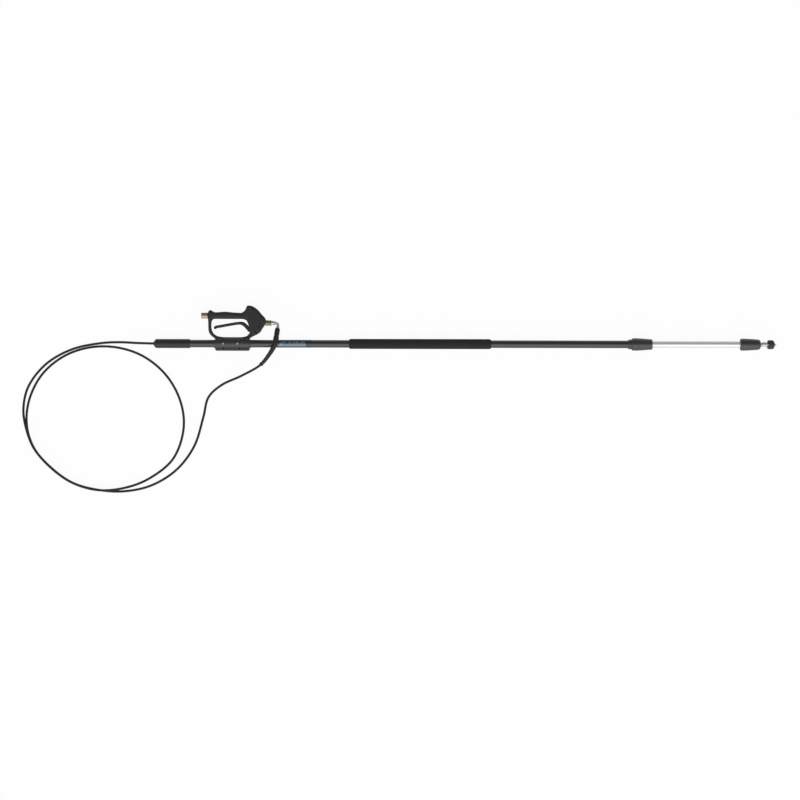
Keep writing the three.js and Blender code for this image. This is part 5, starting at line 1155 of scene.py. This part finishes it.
squeeze_trigger = fuse("squeeze_trigger", [
    trigger_bar(),
    rod(-TRIGGER_HALF, TRIGGER_HALF, PIVOT_BOSS, on_gun(*PIVOT)),
    block(*PUSH_PAD, GUN),
], TRIGGER_VOXEL, TRIGGER_SOFTENING)
slot_end = LATCH_PIN[0] + (LATCH_ARM + LATCH_HEIGHT) * math.cos(LATCH_TILT)
slot_low, slot_high = SLOT_DEPTH
slot_line = rounded([
    (SLOT_REAR, slot_low), (slot_end, slot_low, 2), (slot_end, slot_high, 2), (SLOT_REAR, slot_high)])
carve(
    squeeze_trigger,
    slab("latch_slot", [slot_line], SLOT_HALF, SLOT_ROUNDING, GUN),
    rod(-TRIGGER_HALF - 1, TRIGGER_HALF + 1, PIVOT_HOLE, on_gun(*PIVOT), sides=HOLE_SIDES),
    rod(-TRIGGER_HALF - 1, TRIGGER_HALF - LATCH_PIN_WALL, LATCH_PIN_HOLE, on_gun(*LATCH_PIN),
        sides=HOLE_SIDES),
)
finish_piece(squeeze_trigger, gun_nylon, "trigger", "gun_nylon", "trigger", angle=35)

arm_frame = GUN @ Matrix.Translation(Vector((*LATCH_PIN, 0)) * MM) @ Matrix.Rotation(LATCH_TILT, 4, "Z")
hook_frame = arm_frame @ Matrix.Rotation(LATCH_BEND, 4, "Z")
low, high = -LATCH_HEIGHT / 2, LATCH_HEIGHT / 2
arm_line = rounded([(-1, low), (LATCH_ARM, low, 1.5), (LATCH_ARM, high, 1.5), (-1, high)])
hook_line = rounded([(-LATCH_HOOK, low, 1.8), (1, low), (1, high), (-LATCH_HOOK, high, 1.8)])
lock_flap = fuse("lock_flap", [
    slab("arm", [arm_line], LATCH_HALF, LATCH_ROUNDING, arm_frame),
    slab("hook", [hook_line], LATCH_HALF, LATCH_ROUNDING, hook_frame),
    rod(-LATCH_HALF, LATCH_HALF, LATCH_EYE, on_gun(*LATCH_PIN)),
], LATCH_VOXEL, LATCH_SOFTENING)
carve(lock_flap, rod(-LATCH_HALF - 1, LATCH_HALF + 1, LATCH_PIN_HOLE, on_gun(*LATCH_PIN), sides=HOLE_SIDES))
finish_piece(lock_flap, gun_nylon, "latch", "gun_nylon", "safety_latch", angle=35)

# Blackened steel: dark, oily and half bright.
black_steel = clouded("black_oxide_steel", ("2a2a2b", "3a3a3b"), {"Metallic": 1, "Roughness": 0.45},
                      cloud=3, grit=0.3, relief=0.01)
pivot_pin = turned("pivot_pin", [
    (-PIVOT_PIN_HALF, 0), (-PIVOT_PIN_HALF, PIVOT_PIN_RADIUS, 0.5), (PIVOT_PIN_HALF, PIVOT_PIN_RADIUS, 0.6),
    (PIVOT_PIN_HALF, 0)], on_gun(*PIVOT))
low, high = LATCH_PIN_SPAN
flap_pin = turned("flap_pin", [
    (low, 0), (low, LATCH_PIN_RADIUS, 0.4), (high, LATCH_PIN_RADIUS, 0.4), (high, 0)], on_gun(*LATCH_PIN))
finish_piece(pivot_pin, black_steel, "pole", "black_steel", "trigger_pin")
finish_piece(flap_pin, stainless, "trigger", "stainless_steel", "latch_pin")

# ---------------------------------------------------------------- inlet fitting
# A brass hexagon behind the handle, turned from bar, with a threaded socket for the supply hose. Its
# shank and the valve's tube are held between the shells.

INLET_HEX = (-52.4, -28.9)
INLET_ACROSS = 22
INLET_CHAMFER = 1.4
INLET_SOCKET = 15
INLET_SOCKET_RADIUS = 8
INLET_THREADS = 6
INLET_PITCH = 2
INLET_CREST = (0.4, 0.6)  # both ends of a thread's crest, as shares of the pitch
INLET_THREAD_DEPTH = 0.8
INLET_SINK = (1.2, 9.2)  # depth and radius of the countersink at the socket's mouth
INLET_WATERWAY = 4
INLET_SHANK = (-12.9, 8)  # where it ends along the gun, and its radius
INLET_TUBE_SEAT = (-21.2, 5.8)
INLET_GROOVE = (6.5, 10.6)  # from the rear face to the relief groove, and the groove's radius
GROOVE_WIDTH = 1.6
GROOVE_OUTSIDE = 30  # well outside every hexagon


def dull_brass(name, dark, light):
    """Turned brass, handled and dulled: yellow metal, half bright, browner in patches."""
    return clouded(name, (dark, light), {"Metallic": 1, "Roughness": 0.3},
                   cloud=6, grit=0.5, relief=0.02, cloud_detail=3)


def groove_tool(start, radius, place):
    """A ring that cuts a groove down to a radius."""
    end = start + GROOVE_WIDTH
    return turned("groove", [
        (start, GROOVE_OUTSIDE), (start, radius), (end, radius), (end, GROOVE_OUTSIDE)], place)


inlet_brass = dull_brass("dull_turned_brass", "817a60", "a59d82")
inlet_line = gun_line(INLET_Y)
inlet_start, inlet_end = INLET_HEX
bore = INLET_SOCKET_RADIUS
crest = bore + INLET_THREAD_DEPTH
sink, mouth = INLET_SINK
socket = [(inlet_start - 1, 0), (inlet_start - 1, mouth), (inlet_start, mouth), (inlet_start + sink, bore)]
for i in range(INLET_THREADS):
    thread = inlet_start + INLET_PITCH + INLET_PITCH * i
    socket += [(thread, bore), *((thread + share * INLET_PITCH, crest) for share in INLET_CREST)]
socket += [(inlet_start + INLET_SOCKET, bore), (inlet_start + INLET_SOCKET, 0)]
inlet_coupling = hexagon(inlet_start, inlet_end, INLET_ACROSS, inlet_line, INLET_CHAMFER)
groove = groove_tool(inlet_start + INLET_GROOVE[0], INLET_GROOVE[1], inlet_line)
carve(inlet_coupling, rod(inlet_end - 1, *INLET_SHANK, inlet_line), operation="UNION")
carve(inlet_coupling, groove, turned("socket", socket, inlet_line),
      rod(inlet_start, 0, INLET_WATERWAY, inlet_line),
      rod(INLET_TUBE_SEAT[0], 0, INLET_TUBE_SEAT[1], inlet_line))
finish_piece(inlet_coupling, inlet_brass, "pole", "brass", "inlet_fitting", angle=25)

# ---------------------------------------------------------------- outlet fitting, nut and elbow
# A smaller brass hexagon stands in front of the head. A nickel-plated swivel nut joins it to a bent and
# plated elbow with a cuff at each end.

OUTLET_HEX = (186.5, 208.5)
OUTLET_ACROSS = 20.4
OUTLET_CHAMFER = 1.4
OUTLET_SHANK = (161.5, 6)  # where it starts along the gun, and its radius
OUTLET_GROOVE = (9, 7.4)  # from the front face to the groove's rear, and its radius
OUTLET_WATERWAY = 3
NUT_SOCKET = (6.3, 4.5)  # depth and radius of the room for the next piece's spigot
SPIGOT = (6, 4.2)  # length and radius
UNION = (208.8, 221.8)
UNION_ACROSS = 16.5
UNION_CHAMFER = 1.3
UNION_HEX_LENGTH = 7.2
UNION_STEP = (0.6, 6.4)  # length and radius of the groove in front of the hexagon
UNION_CUFF_RADII = (7.5, 7.3)
UNION_WATERWAY = 2.5
ELBOW_START = 222.1
ELBOW_CORNER = 235.6
ELBOW_RADIUS = 4.9
ELBOW_SIDES = 48
ELBOW_BEND = 13
ELBOW_BEND_STEPS = 16
ELBOW_LEG = 21
CUFF_RADIUS = 7
CUFF_SPANS = (3, 4)  # lengths of the cuffs at the nut and at the hose
HOSE_SPIGOT = 8

outlet_brass = dull_brass("green_dulled_brass", "5c5f46", "7f8266")
outlet_line = gun_line(OUTLET_Y)
outlet_start, outlet_end = OUTLET_HEX
outlet_nipple = hexagon(outlet_start, outlet_end, OUTLET_ACROSS, outlet_line, OUTLET_CHAMFER)
carve(outlet_nipple, rod(OUTLET_SHANK[0], outlet_start + 1, OUTLET_SHANK[1], outlet_line), operation="UNION")
groove = groove_tool(outlet_end - OUTLET_GROOVE[0], OUTLET_GROOVE[1], outlet_line)
carve(outlet_nipple, groove,
      rod(OUTLET_SHANK[0] - 1, outlet_end + 1, OUTLET_WATERWAY, outlet_line),
      rod(outlet_end - NUT_SOCKET[0], outlet_end + 1, NUT_SOCKET[1], outlet_line))
finish_piece(outlet_nipple, outlet_brass, "pole", "brass", "outlet_fitting", angle=25)

union_start, union_end = UNION
union_hex_end = union_start + UNION_HEX_LENGTH
spigot_length, spigot_radius = SPIGOT
step_length, step_radius = UNION_STEP
swivel_nut = hexagon(union_start, union_hex_end, UNION_ACROSS, outlet_line, UNION_CHAMFER)
carve(swivel_nut, turned("nut_rest", [
    (union_start - spigot_length, 0),
    (union_start - spigot_length, spigot_radius),
    (union_start + 1, spigot_radius),
    (union_start + 1, step_radius),
    (union_hex_end + step_length, step_radius),
    (union_hex_end + step_length, UNION_CUFF_RADII[0], 0.4),
    (union_end, UNION_CUFF_RADII[1], 1),
    (union_end, 0),
], outlet_line), operation="UNION")
carve(swivel_nut,
      rod(union_start - spigot_length - 1, union_end, UNION_WATERWAY, outlet_line),
      rod(union_end - NUT_SOCKET[0], union_end + 1, NUT_SOCKET[1], outlet_line))
finish_piece(swivel_nut, nickel, "pole", "nickel_plated", "union_nut", angle=25)

corner = gun_origin + Vector((ELBOW_CORNER, OUTLET_Y, 0)) * MM
bend_start = corner - Vector((ELBOW_BEND, 0, 0)) * MM
bend_end = corner + hose_away * ELBOW_BEND * MM
elbow_end = corner + hose_away * ELBOW_LEG * MM
bend = [(1 - t) ** 2 * bend_start + 2 * t * (1 - t) * corner + t * t * bend_end
        for t in np.linspace(0, 1, ELBOW_BEND_STEPS)]
elbow_line = [gun_origin + Vector((ELBOW_START, OUTLET_Y, 0)) * MM, *bend, elbow_end]
pipe_elbow = grow("pipe_elbow", line_object("elbow_line", elbow_line), tube_maker,
                  {"Radius": ELBOW_RADIUS * MM, "Sides": ELBOW_SIDES, "Cover": nickel})
across_hose = Vector((0, 0, 1)).cross(hose_away).normalized()
hose_axes = Matrix((hose_away, across_hose, hose_away.cross(across_hose))).transposed().to_4x4()
HOSE_START = Matrix.Translation(elbow_end) @ hose_axes
cuffs = [
    turned("cuff", [(low, 0), (low, CUFF_RADIUS, 0.5), (high, CUFF_RADIUS, 0.5), (high, 0)], place)
    for low, high, place in ((ELBOW_START, ELBOW_START + CUFF_SPANS[0], outlet_line),
                             (-CUFF_SPANS[1], 0, HOSE_START))
]
carve(pipe_elbow,
      rod(ELBOW_START - spigot_length, ELBOW_START + 1, spigot_radius, outlet_line),
      *cuffs,
      rod(-1, HOSE_SPIGOT, spigot_radius, HOSE_START), operation="UNION")
finish_piece(pipe_elbow, nickel, "pole", "nickel_plated", "elbow", angle=35)

# ---------------------------------------------------------------- crimped ferrule and its cover
# A nickel-plated ferrule crimped on the hose's end, over the elbow's spigot. A moulded rubber cover with
# rounded shoulders is pushed over it.

FERRULE_END = 30.3
FERRULE_RADIUS = 7
FERRULE_BORE = (8.6, 4.5, 5)  # where the bore steps, and its radius before and after
COVER_START = 1.3
COVER_BORE = 7.3
COVER_SIDE = [(1.3, 8, 0.6), (4.5, 9.7, 2.5), (25, 9.7, 2.5), (30.3, 8.6, 0.6)]

bore_step, front_bore, rear_bore = FERRULE_BORE
crimp_ferrule = turned("crimp_ferrule", [
    (GAP, front_bore),
    (GAP, FERRULE_RADIUS, 0.4),
    (FERRULE_END, FERRULE_RADIUS, 0.4),
    (FERRULE_END, rear_bore),
    (bore_step, rear_bore),
    (bore_step, front_bore),
], HOSE_START)
finish_piece(crimp_ferrule, nickel, "pole", "nickel_plated", "hose_ferrule")
ferrule_boot = turned("ferrule_boot", [
    (COVER_START, COVER_BORE, 0.3), *COVER_SIDE, (FERRULE_END, COVER_BORE)], HOSE_START)
finish_piece(ferrule_boot, black_rubber, "pole", "seal_rubber", "ferrule_cover")

# ---------------------------------------------------------------- clamp
# Two moulded nylon halves round the tube, which also grip the gun's guard bar between their lips.
# Four screws pull them together, and two bright screws bear on the tube.

CLAMP_LENGTH = 128
CLAMP_DROP = 26.5
CLAMP_HUMP = 18.9
HUMP_STEPS = 40
CLAMP_FLANGE = 7
CLAMP_LIP = 11.5
CLAMP_NEAR_EDGE = 21.5
CLAMP_FAR_EDGE = 24.4
CLAMP_ROUNDING = 1.2
CLAMP_PARTING = 0.15
CORNER_CUT = 2.8
NECK_RADIUS = 16.8
NECK_BORE = 5
NECK_LAP = 2
BAR_SLOT = ((-50, 200), 60)  # its ends along the pole, and how far out it reaches
POCKETS = (10, 60, 118)
POCKET_HALF = 4.5
POCKET_EDGES = (-23.5, -17)
POCKET_FLOOR = 4
LOWER_SCREWS = [(30, -19.5), (90, -19.5)]
HEAD_HOLE = 3.4
LOCK_SCREWS = [(30.3, 0), (83.7, 0)]
LOCK_SCREW_HOLE = 2.8
LOCK_SEAT = (0.6, 4.2)  # depth and radius
NUT_POCKET = (-17.3, 7.6)  # its floor's height, and its size across flats
ACROSS = Matrix(((0, 0, 1, CLAMP_LENGTH / 2 * MM), (1, 0, 0, 0), (0, 1, 0, 0), (0, 0, 0, 1)))

clamp_nylon = filled_nylon("filled_nylon_of_the_clamp", "0e0f0f", "161717", 0.45)
hump_from = math.asin(CLAMP_LIP / CLAMP_HUMP)
hump_to = math.pi - math.asin(CLAMP_FLANGE / CLAMP_HUMP)
hump = [(CLAMP_HUMP * math.cos(angle), CLAMP_HUMP * math.sin(angle))
        for angle in np.linspace(hump_from, hump_to, HUMP_STEPS)]
near_section = rounded([
    (CLAMP_NEAR_EDGE, CLAMP_PARTING),
    (CLAMP_NEAR_EDGE, CLAMP_LIP, 3.5),
    *hump,
    (-CLAMP_DROP, CLAMP_FLANGE, 3.2),
    (-CLAMP_DROP, CLAMP_PARTING),
])
far_section = rounded([
    (CLAMP_FAR_EDGE, -FACE_HALF, 3),
    (CLAMP_FAR_EDGE, -CLAMP_PARTING),
    (-CLAMP_DROP, -CLAMP_PARTING),
    (-CLAMP_DROP, -FACE_HALF, 3),
])


def clamp_half(name, section, keep_low, keep_high):
    """One half of the clamp, with the thin necks at its ends, the tube's bore and the guard bar's slot."""
    made = slab(name, [section], CLAMP_LENGTH / 2, CLAMP_ROUNDING, GUN @ ACROSS)
    necks = [
        turned("neck", [
            (low, NECK_BORE), (low, NECK_RADIUS, 0.6), (high, NECK_RADIUS, 0.6), (high, NECK_BORE)], GUN)
        for low, high in ((-CLAMP_NECK, NECK_LAP), (CLAMP_LENGTH - NECK_LAP, CLAMP_LENGTH + CLAMP_NECK))
    ]
    keep = block((-FAR_AWAY, -FAR_AWAY, keep_low), (FAR_AWAY, FAR_AWAY, keep_high), GUN)
    carve(made, *necks, operation="UNION")
    carve(made, keep, operation="INTERSECT")
    holes = [rod(-FAR_AWAY, FAR_AWAY, CLAMP_SCREW_HOLE, on_gun(x, y), sides=HOLE_SIDES)
             for x, y in UPPER_SCREWS + LOWER_SCREWS]
    corners = [
        block((-CORNER_CUT, -CORNER_CUT, -FAR_AWAY), (CORNER_CUT, CORNER_CUT, FAR_AWAY),
              GUN @ Matrix.Translation((x * MM, -CLAMP_DROP * MM, 0)) @ Matrix.Rotation(math.pi / 4, 4, "Z"))
        for x in (0, CLAMP_LENGTH)
    ]
    (rear, front), out = BAR_SLOT
    bar = block((rear, GUARD_HALF, -GUARD_HALF - GAP), (front, out, GUARD_HALF + GAP), GUN)
    return carve(made, rod(rear, front, tube_seat, GUN, sides=TURNED_SIDES), bar, *holes, *corners)


clamp_near_half = clamp_half("clamp_near_half", near_section, CLAMP_PARTING, FAR_AWAY)
pocket_low, pocket_high = POCKET_EDGES
over_flange = GUN @ Matrix.Translation((0, 0, (FAR_AWAY + POCKET_FLOOR) * MM))
pockets = [
    slab("pocket", [rounded([(x - POCKET_HALF, pocket_low, 1.5), (x + POCKET_HALF, pocket_low, 1.5),
                             (x + POCKET_HALF, pocket_high), (x - POCKET_HALF, pocket_high)])],
         FAR_AWAY, PLATE_EDGE, over_flange)
    for x in POCKETS
]
heads = [rod(CLAMP_FLANGE, FAR_AWAY, HEAD_HOLE, on_gun(x, y)) for x, y in LOWER_SCREWS]
lock_holes = [rod(0, FAR_AWAY, LOCK_SCREW_HOLE, on_gun(x, y), sides=HOLE_SIDES) for x, y in LOCK_SCREWS]
lock_seats = [rod(CLAMP_HUMP - LOCK_SEAT[0], FAR_AWAY, LOCK_SEAT[1], on_gun(x, y)) for x, y in LOCK_SCREWS]
carve(clamp_near_half, *pockets, *heads, *lock_holes, *lock_seats)
finish_piece(clamp_near_half, clamp_nylon, "pole", "clamp_nylon", "bracket_near", angle=30)
clamp_far_half = clamp_half("clamp_far_half", far_section, -FAR_AWAY, -CLAMP_PARTING)
nut_pockets = [hexagon(-FAR_AWAY, *NUT_POCKET, on_gun(x, y)) for x, y in UPPER_SCREWS + LOWER_SCREWS]
carve(clamp_far_half, *nut_pockets)
finish_piece(clamp_far_half, clamp_nylon, "pole", "clamp_nylon", "bracket_far", angle=30)

# ---------------------------------------------------------------- screws
# Blackened steel socket screws hold the shells and the clamp. The nuts in the far half's pockets and the
# two screws that bear on the tube are bright stainless steel.

SCREW_POINT = (0.6, 0.4)  # length and depth of the turned-off end
SCREW_SIDES = 40
KEY_FLOOR = 0.45  # of the head's height
NUT_HEIGHT = 3.2
NUT_ACROSS = 7
NUT_CHAMFER = 1.3
NUT_HOLE_SPAN = (-1, 5)  # well past both of its faces
NUT_PLACE = -20.8


def fastener_tree():
    """A tree that sets one fastener on every point of a mesh."""
    tree, given = new_tree("fasteners_on_points", {
        "Places": "Geometry", "Fastener": "Object", "Finish": "Material"})
    fastener = add(tree, "GeometryNodeObjectInfo", {"Object": given["Fastener"]}).outputs["Geometry"]
    points = add(tree, "GeometryNodeMeshToPoints", {"Mesh": given["Places"]}).outputs[0]
    copies = add(tree, "GeometryNodeInstanceOnPoints", {"Points": points, "Instance": fastener}).outputs[0]
    end_tree(tree, copies, given["Finish"])
    return tree


def set_fasteners(name, fastener, places, finish, slot, nodes):
    """Copies of a fastener on places in the gun's frame, as one piece."""
    mesh = bpy.data.meshes.new(name)
    mesh.from_pydata([gun_origin + Vector(place) * MM for place in places], [], [])
    made = grow(name, new_object(name, mesh), fasteners, {"Fastener": fastener, "Finish": finish})
    bpy.data.objects.remove(fastener)
    finish_piece(made, finish, "pole", slot, *nodes, angle=30)


def socket_screw(shank, length, head, height, key):
    """A socket-head screw that points down, its seat at the origin."""
    point, drop = SCREW_POINT
    made = turned("screw", [
        (-length, 0),
        (-length, shank - drop),
        (-length + point, shank),
        (0, shank),
        (0, head, 0.2),
        (height, head, 0.6),
        (height, 0),
    ], UPRIGHT, sides=SCREW_SIDES)
    return carve(made, hexagon(height * KEY_FLOOR, height + 1, key, UPRIGHT))


fasteners = fastener_tree()
set_fasteners("housing_screws", socket_screw(shank=1.75, length=20, head=3.3, height=2.6, key=2.5),
              [(x, y, face - SCREW_RECESS + GAP) for x, y, face in HOUSING_SCREWS],
              black_steel, "black_steel",
              [f"gun_screw_{place}" for place in ("rear", "crest", "nose", "foot")])
for row, length, flange, places in (("upper", 32.6, CLAMP_LIP, UPPER_SCREWS),
                                    ("lower", 28.1, CLAMP_FLANGE, LOWER_SCREWS)):
    set_fasteners(f"{row}_clamp_screws", socket_screw(2, length, head=3, height=3, key=2.5),
                  [(x, y, flange + GAP) for x, y in places], black_steel, "black_steel",
                  [f"clamp_screw_{row}_{i}" for i in (1, 2)])
set_fasteners("lock_screws", socket_screw(shank=2.5, length=4.3, head=3.5, height=2.4, key=3),
              [(x, y, CLAMP_HUMP + GAP) for x, y in LOCK_SCREWS], stainless, "stainless_steel",
              ["lock_screw_1", "lock_screw_2"])
nut = carve(hexagon(0, NUT_HEIGHT, NUT_ACROSS, UPRIGHT, NUT_CHAMFER),
            rod(*NUT_HOLE_SPAN, CLAMP_SCREW_HOLE, UPRIGHT, sides=HOLE_SIDES))
set_fasteners("clamp_nuts", nut, [(x, y, NUT_PLACE) for x, y in UPPER_SCREWS + LOWER_SCREWS], stainless,
              "stainless_steel", [f"clamp_nut_{row}_{i}" for row in ("upper", "lower") for i in (1, 2)])

# ---------------------------------------------------------------- hose inside the pole
# The same hose runs on from the butt to the end fitting. It is drawn straight. In the real tubes the
# spare hose gives along its length when the inner pole slides.

INNER_HOSE_POINTS = 200

inner_hose_start, inner_hose_end, _ = extent("hose_in_pole")
inner_line = np.linspace(inner_hose_start, inner_hose_end, INNER_HOSE_POINTS)[:, None] * (1, 0, 0) * MM
inner_hose = grow("inner_hose", line_object("inner_line", inner_line + np.array(POLE.translation)),
                  tube_maker, hose_section)
inner_hose.data.shade_smooth()
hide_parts("hose_in_pole")
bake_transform(inner_hose)

# ---------------------------------------------------------------- valve spring
# A spring of stainless wire with closed ends, coiled cold, that holds the ball on its seat. It stands
# against the valve's cap and is squeezed when the trigger lifts the rod.

SPRING_WIRE = 1.1 * MM
WIRE_SIDES = 16
SPRING_TURNS = 6
TURN_STEPS = 48
CLOSED_TURN = 1.1  # rise of the end turns, in thicknesses of the wire

spring_low, spring_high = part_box("valve_spring")
spring_middle = (spring_low + spring_high) / 2
coil_radius = (spring_high.x - spring_low.x - SPRING_WIRE) / 2
coil_rise = spring_high.y - spring_low.y - SPRING_WIRE
closed_rise = CLOSED_TURN * SPRING_WIRE
turn = np.linspace(0, SPRING_TURNS, SPRING_TURNS * TURN_STEPS + 1)
climb = np.interp(turn, (0, 1, SPRING_TURNS - 1, SPRING_TURNS),
                  (0, closed_rise, coil_rise - closed_rise, coil_rise))
coil = np.c_[spring_middle.x + coil_radius * np.cos(2 * math.pi * turn),
             spring_low.y + SPRING_WIRE / 2 + climb,
             spring_middle.z + coil_radius * np.sin(2 * math.pi * turn)]
closing_spring = grow("closing_spring", line_object("coil", coil), tube_maker,
                      {"Radius": SPRING_WIRE / 2, "Sides": WIRE_SIDES, "Cover": stainless})
finish_piece(closing_spring, stainless, "pole", "stainless_steel", "valve_spring")
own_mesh(closing_spring)

# ---------------------------------------------------------------- pieces inside
# Bushes, seals and valve parts that show only through openings keep the CAD's solids, each with the
# finish of its real material.

# Turned acetal: milky white and waxy.
acetal = clouded("turned_acetal", ("d6d4cd", "e0ded8"), {"Roughness": 0.4},
                 cloud=10, grit=0.4, relief=0.02)
INSIDE = (
    (lock_nylon, ("butt_hose_guide", "tail_plug")),
    (acetal, ("lock_collet", "glide_ring", "end_bush", "valve_seat")),
    (black_rubber, ("nozzle_seal", "gland_seal")),
    (stainless, ("inlet_tube", "valve_ball", "push_rod")),
    (inlet_brass, ("valve_body", "valve_cap", "rod_gland")),
)
for finish, nodes in INSIDE:
    for node in nodes:
        for material_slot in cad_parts[node].material_slots:
            material_slot.material = finish

# ---------------------------------------------------------------- studio
# A white floor and a soft light that is strong on the near side and weak on the far side, as the
# photograph's highlights show.

FLOOR_SIZE = 120  # metres
FLOOR_DROP = 0.3 * MM
FLOOR_WHITE = "fdfdfd"
FLOOR_GLOW = 0.94  # share of the floor's white that shadows don't darken
NEAR_LIGHT = 1.25
FAR_LIGHT = 0.3
HORIZON_LIGHT = 0.6
FAR_LIGHT_FROM = 0.7  # height in the sky, as a share of straight above
LIGHT_EDGE = 0.22
SUN_STRENGTH = 0.4
SUN_ANGLE = math.radians(50)
SUN_LEAN = math.radians(42)  # from straight above to the near side

floor_mesh = bpy.data.meshes.new("floor")
reach = FLOOR_SIZE / 2
corners = [(-reach, -reach), (reach, -reach), (reach, reach), (-reach, reach)]
floor_mesh.from_pydata([(x, y, -FLOOR_DROP) for x, y in corners], [], [(0, 1, 2, 3)])
floor = new_object("floor", floor_mesh)

# Matt white paper. To the camera and to reflections it glows almost white, so that it shows no grey.
paper, tree, shader, _ = new_material("white_floor", {
    "Base Color": linear(FLOOR_WHITE), "Roughness": 1, "Specular IOR Level": 0})
rays = add(tree, "ShaderNodeLightPath").outputs
seen = rays["Is Camera Ray"]
for kind in ("Is Glossy Ray", "Is Transmission Ray"):
    seen = add(tree, "ShaderNodeMath", {0: seen, 1: rays[kind]}, operation="MAXIMUM").outputs[0]
glow = add(tree, "ShaderNodeEmission", {"Strength": 1}).outputs[0]
share = add(tree, "ShaderNodeMath", {0: seen, 1: FLOOR_GLOW}, operation="MULTIPLY").outputs[0]
lit = add(tree, "ShaderNodeMixShader", {0: share, 1: shader.outputs[0], 2: glow}).outputs[0]
tree.links.new(lit, tree.nodes["Material Output"].inputs["Surface"])
floor_mesh.materials.append(paper)

world = bpy.data.worlds.new("soft_studio_light")
bpy.context.scene.world = world
world.use_nodes = True
tree = world.node_tree
direction = add(tree, "ShaderNodeTexCoord").outputs["Generated"]
towards = add(tree, "ShaderNodeSeparateXYZ", {0: direction}).outputs
height = add(tree, "ShaderNodeMapRange", {
    "Value": towards[2], "To Min": HORIZON_LIGHT, "To Max": FAR_LIGHT, "From Max": FAR_LIGHT_FROM})
side = add(tree, "ShaderNodeMapRange", {
    "Value": towards[1], "From Min": -LIGHT_EDGE, "From Max": LIGHT_EDGE}, interpolation_type="SMOOTHSTEP")
strength = add(tree, "ShaderNodeMix", {0: side.outputs[0], 2: NEAR_LIGHT, 3: height.outputs[0]}).outputs[0]
background = tree.nodes["Background"].inputs
tree.links.new(strength, background["Strength"])
background["Color"].default_value = (1, 1, 1, 1)

sun_data = bpy.data.lights.new("window", "SUN")
sun_data.energy = SUN_STRENGTH
sun_data.angle = SUN_ANGLE
sun = new_object("window", sun_data)
sun.rotation_euler = (SUN_LEAN, 0, 0)
